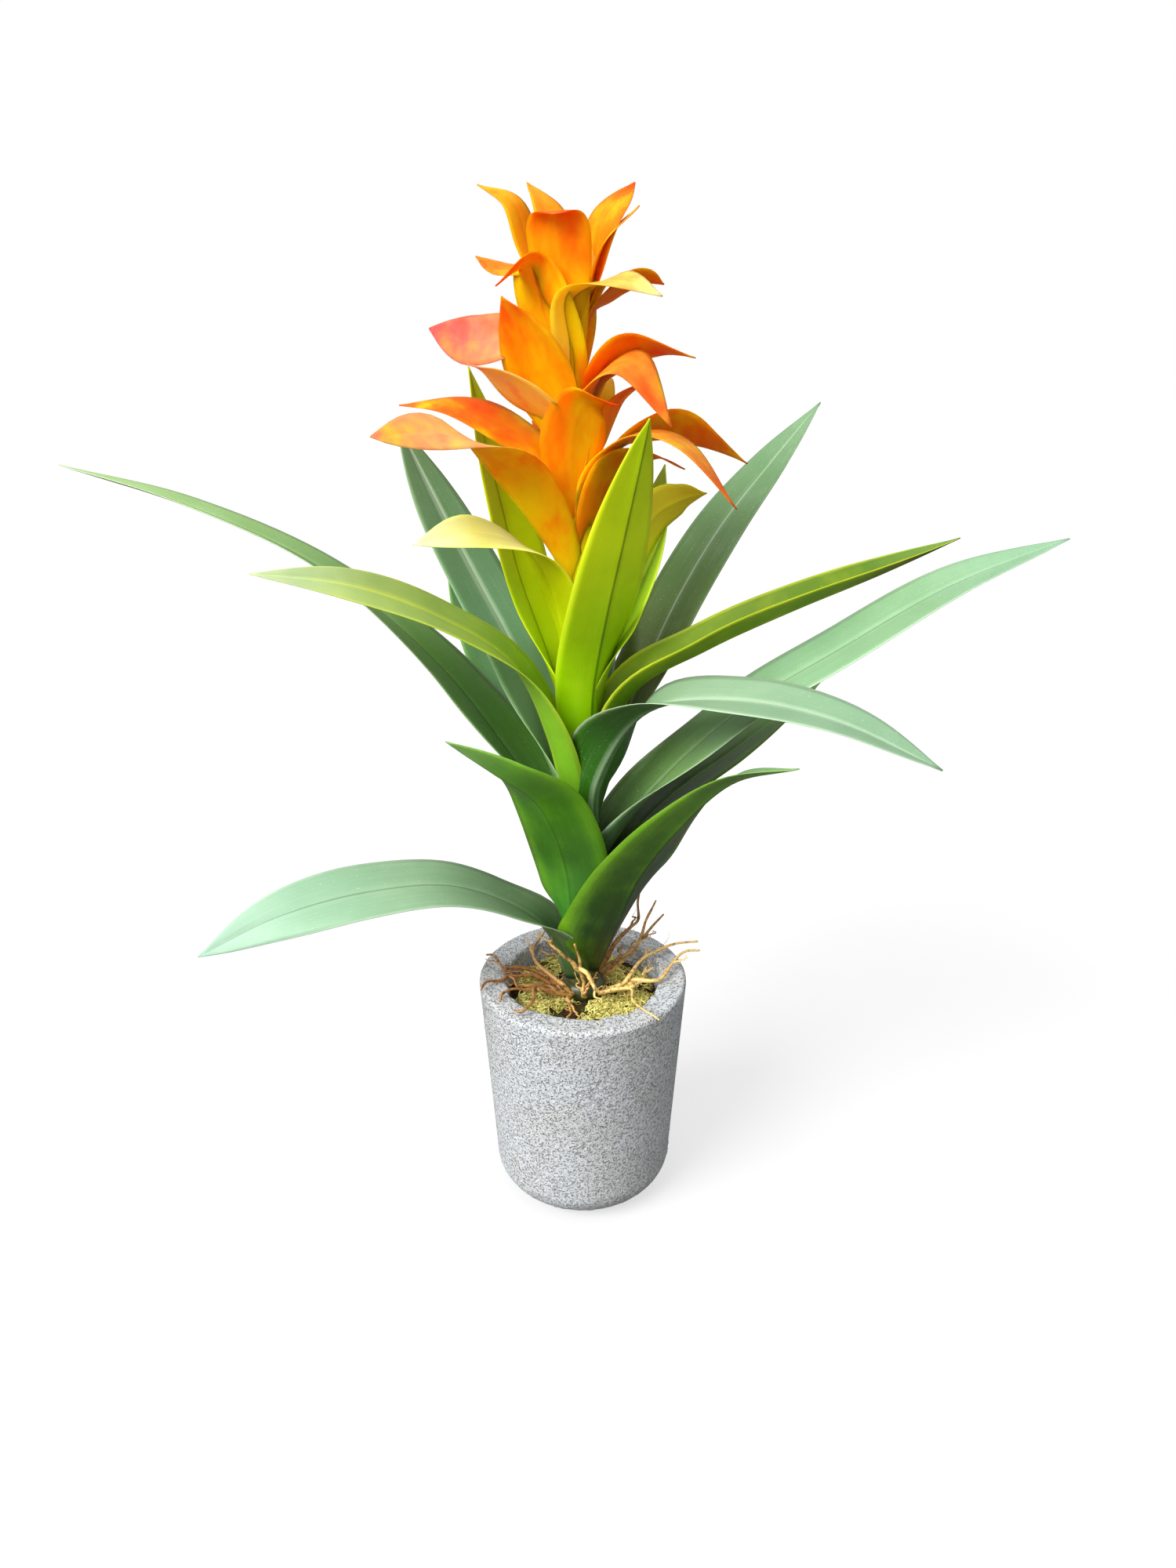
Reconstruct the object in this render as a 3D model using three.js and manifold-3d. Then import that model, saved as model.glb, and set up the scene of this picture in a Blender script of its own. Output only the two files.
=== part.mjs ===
// A potted guzmania: a concrete-look pot with soil, moss and aerial roots, a stem,
// an arching rosette of leaves and a tall head of orange bracts.
// Millimetres, +Z up. The pot's foot is centred on the origin, +X is the photograph's
// right and -Y points to its viewer. Azimuths are degrees round the stem from +X.

import * as THREE from "three";
import { mergeVertices } from "three/addons/utils/BufferGeometryUtils.js";
import Module from "manifold-3d";

const wasm = await Module();
wasm.setup();

// Driving dimensions.
const fit = 0.3;
const mergeDistance = 0.0001;

const potTopRadius = 60;
const potFootRadius = 52.5;
const potHeight = 140;
const potWall = 16;
const potFloor = 12;
const footRound = 20;
const rimRound = 2.5;
const footSteps = 4;
const rimSteps = 2;
const potSegments = 36;

const soilTop = 124;
const mossTop = 129.5;
const mossLump = 1.3;
const mossWaves = { x: 0.42, y: 0.37, fine: 0.9, slant: 0.5, shift: 1.3 };
const mossRings = 3;
const mossHoleRadius = 14;

const stemFoot = 60;
const stemTop = 345;
const stemBaseRadius = 9;
const stemTopRadius = 5.5;
const stemSegments = 16;

const collarTop = 138;
const collarRadius = 13;
const collarBevel = { drop: 3, inset: 2 };

const coreTop = 515;
const coreRadius = 7;
const coreTopRadius = 4;
const coreSteps = 5;
const coreSides = 6;
const leanStart = 380;
const leanHeight = 160;
const leanReach = 10;

const leafThickness = 1.1;
const leafTipThickness = 0.8;
const bractThickness = 1.0;
const bractTipThickness = 0.7;
const smallestHalfWidth = 0.6;

// Outline and section of a blade. base is its width at the root as a share of the
// widest, which is at peak along it. tip is the power of its narrowing beyond that,
// baseEase that of its widening before it. wrap is how far, in degrees, each half of
// the root bends round what carries it, which fades out at wrapEnd along the blade.
const baseEase = 1.3;
const leafShape = { base: 0.85, peak: 0.45, tip: 2, wrap: 95, wrapEnd: 0.35 };
const bractShape = { base: 0.4, peak: 0.48, tip: 1.7, wrap: 60, wrapEnd: 0.45 };
const leafGrid = { stations: 8, across: 4 };
const bractGrid = { stations: 5, across: 4 };

// Leaves. A path is the midrib's [reach, height] from the stem's axis after the root.
// sway moves the midrib to the left as one looks out along the leaf, roll lifts that
// side, and fold lifts both halves into a gutter, in degrees, from root to tip.
const leafRows = [
  {
    name: "leaf_far_left", azimuth: 172, root: 222, width: 52, roll: [-25, 5, 0],
    fold: [10, 10, 15], path: [[36, 270], [80, 328], [138, 375], [206, 405], [273, 424]],
    shape: { base: 0.6, peak: 0.35, tip: 1.35 }, look: "green",
  },
  {
    name: "leaf_mid_left", azimuth: 200, root: 238, width: 37, roll: [-10, -15, -35],
    fold: [15, 5, 5], path: [[19, 290], [38, 333], [76, 362], [118, 381], [162, 390]],
    shape: { base: 0.85, tip: 2.2, wrapEnd: 0.55 }, look: "lime",
  },
  {
    name: "leaf_front_left", azimuth: 235, root: 152, width: 50, roll: [0, 10, 0],
    fold: [10, 15, 25], path: [[12, 187], [16, 222], [28, 256], [48, 278], [66, 298]],
    sway: [0, 0, -12, -38], shape: { base: 0.5, tip: 2.4, wrapEnd: 0.28 }, look: "dark",
  },
  {
    name: "leaf_low_left", azimuth: 197, root: 140, width: 40, roll: [0, -15, -60],
    fold: [15, 5, 5], path: [[26, 179], [70, 208], [118, 213], [166, 206], [209, 189]],
    shape: { base: 1, tip: 2.6, wrap: 110, wrapEnd: 0.3 }, look: "mint",
  },
  {
    name: "leaf_back_left", azimuth: 141, root: 232, width: 44, roll: [0, 0, 0], fold: [15, 5, 5],
    path: [[25, 282], [47, 325], [74, 361], [103, 400], [130, 440]], shape: { tip: 3 },
    look: "green",
  },
  {
    name: "leaf_back_left_low", azimuth: 132, root: 205, width: 38, roll: [0, 0, 0],
    fold: [15, 5, 5], path: [[21, 250], [48, 285], [76, 312], [100, 342], [116, 374]],
    look: "dark",
  },
  {
    name: "leaf_young_left", azimuth: 143, root: 285, width: 38, roll: [0, 0, 0],
    fold: [20, 20, 20], path: [[21, 325], [41, 368], [54, 409], [64, 441], [72, 472]],
    shape: { tip: 1.7 }, look: "olive",
  },
  {
    name: "leaf_young_front", azimuth: 306, root: 275, width: 44, roll: [0, 0, 0],
    fold: [15, 10, 20], path: [[9, 315], [20, 357], [33, 397], [44, 431], [52, 457]],
    shape: { base: 0.8, tip: 1.7, wrap: 80, wrapEnd: 0.5 }, look: "lime",
  },
  {
    name: "leaf_young_back", azimuth: 38, root: 285, width: 38, roll: [0, 0, 0],
    fold: [25, 20, 15], path: [[17, 325], [31, 352], [43, 378], [50, 402], [54, 425]],
    look: "lime",
  },
  {
    name: "leaf_back_right", azimuth: 46, root: 235, width: 38, roll: [0, 0, 0],
    fold: [20, 5, 10], path: [[34, 290], [70, 342], [110, 382], [155, 413], [202, 443]],
    shape: { tip: 2.4 }, look: "green",
  },
  {
    name: "leaf_right_upper", azimuth: 12, root: 262, width: 34, roll: [0, 0, 0],
    fold: [25, 45, 25], path: [[27, 310], [67, 332], [112, 350], [160, 367], [206, 385]],
    shape: { tip: 2.4 }, look: "olive",
  },
  {
    name: "leaf_right_long", azimuth: 0, root: 212, width: 43, roll: [10, 12, 15],
    fold: [15, 5, 10], path: [[39, 258], [85, 304], [134, 337], [187, 370], [243, 394]],
    shape: { tip: 3 }, look: "mint",
  },
  {
    name: "leaf_right_droop", azimuth: 335, root: 228, width: 46, roll: [0, -50, -8, 6, 8, 12],
    fold: [10, 25, 20, 10, 10, 15],
    path: [[14, 268], [38, 309], [84, 321], [136, 318], [187, 302]], sway: [0, -10, -4, 0, 0, 0],
    shape: { base: 0.95, peak: 0.22, tip: 3.8, wrapEnd: 0.4 }, look: "mint",
  },
  {
    name: "leaf_right_under", azimuth: 25, root: 168, width: 36, roll: [0, 0, 0],
    fold: [15, 10, 10], path: [[28, 218], [57, 244], [95, 264], [130, 284], [160, 306]],
    look: "dark",
  },
  {
    name: "leaf_front_right", azimuth: 325, root: 146, width: 66, roll: [0, -25, 0],
    fold: [10, 20, 30], path: [[23, 179], [37, 213], [61, 250], [91, 284], [126, 300]],
    shape: { base: 0.2, peak: 0.16, tip: 1.25, wrap: 65, wrapEnd: 0.5 }, look: "dark",
  },
  {
    name: "leaf_back_tall", azimuth: 88, root: 250, width: 36, roll: [0, 0, 0],
    fold: [15, 10, 10], path: [[22, 300], [46, 338], [80, 362], [118, 376], [156, 378]],
    look: "green",
  },
  {
    name: "leaf_back_short", azimuth: 108, root: 180, width: 36, roll: [0, 0, 0],
    fold: [15, 10, 10], path: [[20, 225], [42, 262], [74, 285], [110, 296], [146, 292]],
    look: "green",
  },
  {
    name: "bract_olive_right", azimuth: 12, root: 318, width: 31, roll: [0, -45, -55, -60, -40],
    fold: [5, 5, 5], path: [[18, 361], [34, 400], [50, 411], [64, 414]], shape: bractShape,
    look: "olive",
  },
  {
    name: "bract_pale_left", azimuth: 207, root: 308, width: 42, roll: [10, 0, -45],
    fold: [5, 5, 5], path: [[12, 352], [26, 388], [56, 402], [88, 400]], shape: bractShape,
    look: "cream",
  },
];

// Orange bracts, from the top of the head down, in the same terms. The root is sunk in
// the core, so its reach is the same for all.
const bractRootReach = 1;
const bractRows = [
  {
    azimuth: 165, root: 478, path: [[18, 520], [27, 545], [44, 553]], width: 18,
    roll: [0, -20, -20],
  },
  { azimuth: 140, root: 500, path: [[5, 528], [12, 544], [24, 554]], width: 24 },
  {
    azimuth: 25, root: 475, path: [[10, 512], [16, 538], [32, 554]], width: 30, roll: [0, 0, 15],
    shape: { base: 0.3, peak: 0.65 },
  },
  { azimuth: 355, root: 465, path: [[6, 500], [14, 528], [30, 544]], width: 22, roll: [0, 0, 15] },
  {
    azimuth: 262, root: 455, path: [[8, 492], [12, 522], [17, 540], [27, 540]], width: 29,
    sway: [0, -3, -5, -5], shape: { base: 0.3, peak: 0.62 },
  },
  {
    azimuth: 205, root: 452, path: [[5, 480], [15, 503], [23, 521], [39, 511]], width: 32,
    roll: [0, 30, 20],
  },
  {
    azimuth: 165, root: 478, path: [[8, 503], [20, 516], [34, 518], [46, 523]], width: 20,
    roll: [0, -10, -15], shape: { base: 0.25, peak: 0.7 },
  },
  {
    azimuth: 330, root: 450, path: [[1, 482], [5, 506], [25, 514], [45, 507]], width: 32,
    sway: [0, -6, 0], roll: [0, 0, -10, 15, 20],
  },
  {
    azimuth: 15, root: 465, path: [[8, 496], [21, 509], [34, 514], [44, 511]], width: 20,
    roll: [0, -20, -35, -30],
  },
  {
    azimuth: 176, root: 450, path: [[12, 481], [29, 489], [49, 487], [69, 492]], width: 26,
    roll: [-20, -50, -60], shape: { base: 0.2, peak: 0.75, tip: 1.7 },
  },
  {
    azimuth: 215, root: 415, path: [[12, 448], [22, 474], [33, 494], [42, 507]], width: 40,
    sway: [0, -3, 0, 0], roll: [0, 20, 10], shape: { base: 0.55 },
  },
  {
    azimuth: 350, root: 440, path: [[10, 468], [22, 482], [38, 484], [56, 480]], width: 28,
    roll: [0, -35, -10],
  },
  {
    azimuth: 322, root: 412, path: [[3, 448], [12, 472], [31, 478], [53, 452]], width: 34,
    roll: [0, 20, 20],
  },
  { azimuth: 0, root: 400, path: [[6, 432], [16, 458], [31, 469]], width: 25, roll: [0, -20, -20] },
  {
    azimuth: 290, root: 395, path: [[8, 425], [12, 447], [20, 462], [34, 461]], width: 31,
    sway: [0, -8, -6, 6], roll: [0, -10, -25, -25],
  },
  {
    azimuth: 175, root: 405, path: [[16, 432], [38, 448], [62, 457], [88, 457]], width: 28,
    roll: [0, -25, -15],
  },
  {
    azimuth: 215, root: 354, path: [[12, 392], [34, 428], [70, 450], [111, 452]], width: 29,
    roll: [15, 40, 42, -20, -50], shape: { base: 0.35, peak: 0.75, tip: 2 },
  },
  {
    azimuth: 200, root: 420, path: [[12, 448], [28, 464], [42, 474], [54, 478]], width: 30,
    roll: [0, 20, 0],
  },
  { azimuth: 335, root: 390, path: [[7, 426], [28, 446], [54, 442], [80, 415]], width: 28 },
  {
    azimuth: 15, root: 405, path: [[19, 436], [42, 447], [64, 440], [87, 427]], width: 32,
    roll: [0, -35, -10],
  },
  {
    azimuth: 345, root: 375, path: [[7, 408], [18, 430], [34, 436], [51, 430]], width: 32,
    roll: [0, -30, 0],
  },
];

// Bracts on the far side of the head, spaced by a rule. The first is the lowest and
// largest, and the shares say how much smaller the last one is.
const farBracts = { count: 6, firstAzimuth: 60, lastAzimuth: 150, lowest: 372, highest: 485 };
const farBractSize = { reach: 70, rise: 52, width: 30 };
const farBractShrink = { reach: 0.6, rise: 0.15, width: 0.25 };
const farBractCurve = [[0.2, 0.6], [0.55, 1], [1, 0.95]];
const farBractStride = 3;

// Aerial roots: routes of points from the collar outward, over the moss and the rim.
const rootRadius = 1.5;
const rootTipRadius = 0.8;
const rootSides = 4;
const rootRoutes = [
  [
    [-12, -4, 131], [-19, 1, 135], [-27, 6, 139], [-37, 6, 141],
    [-45, 3, 142], [-52, 11, 144], [-56, 17, 143],
  ],
  [[-9, -8, 131], [-17, -7, 134], [-26, -8, 136], [-37, -9, 139], [-43, -6, 142], [-46, 2, 143]],
  [[-12, 0, 132], [-24, -1, 137], [-36, -3, 140], [-43, -8, 142], [-52, -13, 143], [-57, -21, 143]],
  [
    [-7, -9, 131], [-17, -11, 134], [-24, -12, 137],
    [-34, -17, 140], [-43, -24, 143], [-47, -32, 143],
  ],
  [
    [-9, -8, 132], [-20, -9, 135], [-27, -11, 138], [-29, -21, 142],
    [-29, -34, 144], [-33, -44, 144], [-38, -40, 142],
  ],
  [
    [-6, -10, 132], [-10, -11, 139], [-16, -7, 141], [-28, 7, 143],
    [-30, 18, 144], [-28, 29, 145], [-22, 39, 146],
  ],
  [[1, -10, 131], [1, -17, 136], [0, -16, 143], [-2, -16, 152], [-3, -17, 162], [-5, -20, 173]],
  [[-2, -16, 152], [-9, -17, 160], [-14, -17, 167], [-19, -17, 173]],
  [
    [-2, -16, 154], [3, -18, 151], [6, -20, 146], [11, -17, 140],
    [19, -17, 140], [27, -18, 141], [30, -33, 142], [41, -52, 143],
  ],
  [
    [10, -6, 132], [21, -9, 138], [27, -8, 142], [37, 9, 146],
    [46, 17, 147], [55, 21, 149], [68, 21, 150],
  ],
  [
    [9, -8, 132], [24, -12, 138], [31, -8, 141], [42, -10, 143],
    [49, -6, 144], [58, 12, 146], [68, 11, 149],
  ],
  [[24, -12, 138], [31, -12, 141], [36, -4, 143], [40, 0, 144]],
  [[10, 8, 134], [26, 12, 145], [33, 17, 150], [39, 29, 160], [45, 38, 166]],
  [[8, 9, 134], [24, 10, 146], [34, 18, 152], [50, 34, 160]],
  [[11, 4, 133], [20, 7, 144], [22, 10, 152]],
  [[9, 9, 135], [17, 13, 150], [25, 14, 160], [32, 20, 167], [36, 39, 176]],
  [[-5, -10, 133], [-8, -17, 136], [-7, -23, 134], [-8, -34, 133]],
  [[-2, 10, 133], [-4, 30, 139], [6, 48, 144]],
  [[-6, 8, 133], [-13, 21, 138], [-20, 34, 140]],
];

const looks = {
  concrete: { color: 0xc9c8c4, roughness: 0.95 },
  soil: { color: 0x3f2a1c, roughness: 1 },
  moss: { color: 0x7f7a2c, roughness: 1 },
  root: { color: 0x8a5a2a, roughness: 0.8 },
  stem: { color: 0x4d5a24, roughness: 0.7 },
  green: { color: 0x6f9a68, roughness: 0.5 },
  dark: { color: 0x3f6a34, roughness: 0.5 },
  mint: { color: 0xa5d6a8, roughness: 0.5 },
  lime: { color: 0xa4bf2a, roughness: 0.5 },
  olive: { color: 0x7d8f26, roughness: 0.5 },
  cream: { color: 0xe8e2a0, roughness: 0.5 },
  orange: { color: 0xf08a1a, roughness: 0.45 },
};

const radians = THREE.MathUtils.degToRad;
const clamp = THREE.MathUtils.clamp;
const smoothstep = THREE.MathUtils.smoothstep;

// Closed solid from a geometry, with its shared points merged and its faces outward.
function toSolid(geometry) {
  const bare = new THREE.BufferGeometry();
  bare.setAttribute("position", geometry.getAttribute("position").clone());
  bare.setIndex(geometry.index.clone());
  const merged = mergeVertices(bare, mergeDistance);
  const points = merged.getAttribute("position");
  const index = merged.index.array;
  const triangles = [];
  const a = new THREE.Vector3();
  const b = new THREE.Vector3();
  const c = new THREE.Vector3();
  let volume = 0;
  for (let i = 0; i < index.length; i += 3) {
    const [p, q, r] = [index[i], index[i + 1], index[i + 2]];
    if (p === q || q === r || r === p) continue;
    triangles.push(p, q, r);
    a.fromBufferAttribute(points, p);
    b.fromBufferAttribute(points, q);
    c.fromBufferAttribute(points, r);
    volume += a.dot(b.cross(c));
  }
  if (volume < 0) triangles.reverse();
  const mesh = new wasm.Mesh({
    numProp: 3,
    vertProperties: new Float32Array(points.array),
    triVerts: new Uint32Array(triangles),
  });
  return new wasm.Manifold(mesh);
}

// The biggest body of a solid: loose scraps are dropped and sealed hollows filled.
function biggestBody(solid) {
  const bodies = solid.decompose();
  return bodies.reduce((best, body) => (body.volume() > best.volume() ? body : best));
}

function toMesh(name, solid, look) {
  const { vertProperties, triVerts } = solid.getMesh();
  const geometry = new THREE.BufferGeometry();
  geometry.setAttribute("position", new THREE.BufferAttribute(new Float32Array(vertProperties), 3));
  geometry.setIndex(new THREE.BufferAttribute(new Uint32Array(triVerts), 1));
  geometry.computeVertexNormals();
  const material = new THREE.MeshStandardMaterial({ ...looks[look], metalness: 0 });
  const mesh = new THREE.Mesh(geometry, material);
  mesh.name = name;
  return mesh;
}

// Solid of revolution about Z from [radius, height] pairs that start and end on the axis
// or run round a closed outline.
function turned(profile, segments) {
  const points = profile.map(([radius, height]) => new THREE.Vector2(radius, height));
  const lathe = new THREE.LatheGeometry(points, segments);
  lathe.rotateX(Math.PI / 2);
  return toSolid(lathe);
}

// Quarter round between two directions, as [radius, height] pairs.
function arc(centre, radius, from, to, steps) {
  return Array.from({ length: steps + 1 }, (_, i) => {
    const angle = radians(from + ((to - from) * i) / steps);
    return [centre[0] + radius * Math.cos(angle), centre[1] + radius * Math.sin(angle)];
  });
}

// Solid between two skins of points on a grid, both split alike, closed by a rim.
function gridSolid(top, bottom) {
  const rows = top.length;
  const columns = top[0].length;
  const positions = [...top.flat(), ...bottom.flat()].flatMap((point) => point.toArray());
  const underside = rows * columns;
  const at = (i, j) => i * columns + j;
  const index = [];
  for (let i = 0; i < rows - 1; i += 1) {
    for (let j = 0; j < columns - 1; j += 1) {
      const corners = [at(i, j), at(i + 1, j), at(i + 1, j + 1), at(i, j + 1)];
      const [a, b, c, d] = corners;
      const [e, f, g, h] = corners.map((corner) => corner + underside);
      index.push(a, b, c, a, c, d, e, g, f, e, h, g);
    }
  }
  const edge = [];
  for (let j = 0; j < columns - 1; j += 1) edge.push(at(0, j));
  for (let i = 0; i < rows - 1; i += 1) edge.push(at(i, columns - 1));
  for (let j = columns - 1; j > 0; j -= 1) edge.push(at(rows - 1, j));
  for (let i = rows - 1; i > 0; i -= 1) edge.push(at(i, 0));
  edge.forEach((start, k) => {
    const end = edge[(k + 1) % edge.length];
    index.push(start, end, end + underside, start, end + underside, start + underside);
  });
  const geometry = new THREE.BufferGeometry();
  geometry.setAttribute("position", new THREE.Float32BufferAttribute(positions, 3));
  geometry.setIndex(index);
  return toSolid(geometry);
}

// Smooth curve through evenly spaced values, read at t from 0 to 1.
function along(values, t) {
  const last = values.length - 1;
  const place = clamp(t, 0, 1) * last;
  const i = Math.min(Math.floor(place), last - 1);
  const f = place - i;
  const [b, c] = [values[i], values[i + 1]];
  const a = i > 0 ? values[i - 1] : 2 * b - c;
  const d = i + 2 <= last ? values[i + 2] : 2 * c - b;
  const square = (2 * a - 5 * b + 4 * c - d) * f * f;
  const cube = (3 * b - a - 3 * c + d) * f * f * f;
  return 0.5 * (2 * b + (c - a) * f + square + cube);
}

function stemRadius(height) {
  const share = clamp((height - collarTop) / (stemTop - collarTop), 0, 1);
  return stemBaseRadius + (stemTopRadius - stemBaseRadius) * share;
}

// The head leans a little to the left towards its top.
function lean(height) {
  const share = clamp((height - leanStart) / leanHeight, 0, 1.1);
  return -leanReach * share ** 1.5;
}

// Half-width of a blade at t, as a share of its widest.
function widthShare(t, shape) {
  if (t < shape.peak) {
    return shape.base + (1 - shape.base) * Math.sin(((t / shape.peak) * Math.PI) / 2) ** baseEase;
  }
  return 1 - ((t - shape.peak) / (1 - shape.peak)) ** shape.tip;
}

// Skins of one blade. Its midrib follows the path in the upright plane of its azimuth,
// and across it the section leaves the midrib at the fold's angle and bends round by the
// wrap, which fades from the base outward. grow thickens it all round.
function bladeSkins(row, rootReach, grid, thickness, grow) {
  const shape = { ...(row.kindShape ?? leafShape), ...row.shape };
  const angle = radians(row.azimuth);
  const out = new THREE.Vector3(Math.cos(angle), Math.sin(angle), 0);
  const across = new THREE.Vector3(-Math.sin(angle), Math.cos(angle), 0);
  const reach = [rootReach, ...row.path.map((point) => point[0])];
  const height = [row.root, ...row.path.map((point) => point[1])];
  const sway = row.sway ?? [0, 0];
  const roll = row.roll ?? [0, 0];
  const fold = row.fold ?? [0, 0];
  const midrib = (t) =>
    new THREE.Vector3(row.leanAtRoot ?? 0, 0, along(height, t))
      .addScaledVector(out, along(reach, t))
      .addScaledVector(across, along(sway, t));
  const top = [];
  const bottom = [];
  for (let i = 0; i <= grid.stations; i += 1) {
    const t = i / grid.stations;
    const centre = midrib(t);
    const tangent = midrib(Math.min(t + 0.01, 1)).sub(midrib(Math.max(t - 0.01, 0))).normalize();
    const flat = across.clone().addScaledVector(tangent, -tangent.dot(across)).normalize();
    const up = tangent.clone().cross(flat);
    const turn = radians(along(roll, t));
    const side = flat.clone().multiplyScalar(Math.cos(turn)).addScaledVector(up, Math.sin(turn));
    const lift = up.clone().multiplyScalar(Math.cos(turn)).addScaledVector(flat, -Math.sin(turn));
    const half = Math.max((row.width / 2) * widthShare(t, shape), smallestHalfWidth) + grow;
    const tilt = radians(along(fold, t));
    const wrap = radians(Math.max(shape.wrap * (1 - smoothstep(t, 0, shape.wrapEnd)), 0.1));
    const skin = thickness[0] + (thickness[1] - thickness[0]) * t + 2 * grow;
    const topRow = [];
    const bottomRow = [];
    for (let j = 0; j <= grid.across; j += 1) {
      const u = (2 * j) / grid.across - 1;
      const bend = tilt + wrap * Math.abs(u);
      const sideways = (Math.sign(u) * half * (Math.sin(bend) - Math.sin(tilt))) / wrap;
      const upward = (half * (Math.cos(tilt) - Math.cos(bend))) / wrap;
      const point = centre.clone().addScaledVector(side, sideways).addScaledVector(lift, upward);
      const facing = u === 0 ? 0 : bend;
      const normal = lift.clone().multiplyScalar(Math.cos(facing));
      normal.addScaledVector(side, -Math.sign(u) * Math.sin(facing));
      topRow.push(point.clone().addScaledVector(normal, skin / 2));
      bottomRow.push(point.clone().addScaledVector(normal, -skin / 2));
    }
    top.push(topRow);
    bottom.push(bottomRow);
  }
  return [top, bottom];
}

function leafSolid(row, grow) {
  const thickness = [leafThickness, leafTipThickness];
  const rootReach = stemRadius(row.root) + fit + leafThickness / 2;
  const [top, bottom] = bladeSkins(row, rootReach, leafGrid, thickness, grow);
  return gridSolid(top, bottom);
}

function bractSolid(row, grow) {
  const thickness = [bractThickness, bractTipThickness];
  const placed = { ...row, kindShape: bractShape, leanAtRoot: lean(row.root) };
  const [top, bottom] = bladeSkins(placed, bractRootReach, bractGrid, thickness, grow);
  return gridSolid(top, bottom);
}

// Rows of the far bracts: their azimuths swing to and fro as they climb.
function farBractRows() {
  const { count, firstAzimuth, lastAzimuth, lowest, highest } = farBracts;
  return Array.from({ length: count }, (_, i) => {
    const climb = i / (count - 1);
    const swing = ((i * farBractStride) % (count - 1)) / (count - 1);
    const reach = farBractSize.reach * (1 - farBractShrink.reach * climb);
    const rise = farBractSize.rise * (1 - farBractShrink.rise * climb);
    const root = lowest + (highest - lowest) * climb;
    return {
      azimuth: firstAzimuth + (lastAzimuth - firstAzimuth) * swing,
      root,
      path: farBractCurve.map(([outward, upward]) => [outward * reach, root + upward * rise]),
      width: farBractSize.width * (1 - farBractShrink.width * climb),
    };
  });
}

// Round tube through points, thinner to its far end, with flat ends.
function tube(route, startRadius, endRadius, sides, grow) {
  const stations = route.length + 1;
  const curve = new THREE.CatmullRomCurve3(route.map((point) => new THREE.Vector3(...point)));
  const frames = curve.computeFrenetFrames(stations);
  const positions = [];
  const index = [];
  for (let i = 0; i <= stations; i += 1) {
    const centre = curve.getPointAt(i / stations);
    const radius = startRadius + ((endRadius - startRadius) * i) / stations + grow;
    for (let k = 0; k < sides; k += 1) {
      const angle = (2 * Math.PI * k) / sides;
      const point = centre.clone();
      point.addScaledVector(frames.normals[i], radius * Math.cos(angle));
      point.addScaledVector(frames.binormals[i], radius * Math.sin(angle));
      positions.push(...point.toArray());
    }
  }
  for (let i = 0; i < stations; i += 1) {
    for (let k = 0; k < sides; k += 1) {
      const [a, b] = [i * sides + k, i * sides + ((k + 1) % sides)];
      index.push(a, b, b + sides, a, b + sides, a + sides);
    }
  }
  for (let k = 1; k < sides - 1; k += 1) {
    const last = stations * sides;
    index.push(0, k + 1, k, last, last + k, last + k + 1);
  }
  const geometry = new THREE.BufferGeometry();
  geometry.setAttribute("position", new THREE.Float32BufferAttribute(positions, 3));
  geometry.setIndex(index);
  return toSolid(geometry);
}

function potInnerRadius(height) {
  const outer = potFootRadius + (potTopRadius - potFootRadius) * (height / potHeight);
  return outer - potWall;
}

function makePot() {
  const footCentre = [potFootRadius - footRound, footRound];
  const rimOuter = [potTopRadius - rimRound, potHeight - rimRound];
  const rimInner = [potTopRadius - potWall + rimRound, potHeight - rimRound];
  const profile = [
    [0, 0],
    ...arc(footCentre, footRound, -90, 0, footSteps),
    ...arc(rimOuter, rimRound, 0, 90, rimSteps),
    ...arc(rimInner, rimRound, 90, 180, rimSteps),
    [potInnerRadius(potFloor), potFloor],
    [0, potFloor],
  ];
  return turned(profile, potSegments);
}

function makeSoil() {
  const holeRadius = stemBaseRadius + fit;
  const bottom = potFloor + fit;
  const profile = [
    [0, bottom],
    [potInnerRadius(bottom) - fit, bottom],
    [potInnerRadius(soilTop) - fit, soilTop],
    [holeRadius, soilTop],
    [holeRadius, stemFoot],
    [0, stemFoot],
  ];
  return turned(profile, potSegments);
}

// Lumpy cushion on the soil, with a hole for the collar.
function makeMoss() {
  const rings = mossRings;
  const bottomHeight = soilTop + fit;
  const top = [];
  const bottom = [];
  for (let i = 0; i <= potSegments; i += 1) {
    const angle = (2 * Math.PI * (i % potSegments)) / potSegments;
    const topRow = [];
    const bottomRow = [];
    for (let j = 0; j <= rings; j += 1) {
      const outer = potInnerRadius(soilTop) - fit;
      const radius = mossHoleRadius + ((outer - mossHoleRadius) * j) / rings;
      const [x, y] = [radius * Math.cos(angle), radius * Math.sin(angle)];
      const broad = Math.sin(mossWaves.x * x + mossWaves.shift) * Math.cos(mossWaves.y * y);
      const fine = Math.sin(mossWaves.fine * y + mossWaves.slant * x) / 2;
      topRow.push(new THREE.Vector3(x, y, mossTop + mossLump * (broad + fine)));
      bottomRow.push(new THREE.Vector3(x, y, bottomHeight));
    }
    top.push(topRow);
    bottom.push(bottomRow);
  }
  return ringSolid(top, bottom);
}

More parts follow.
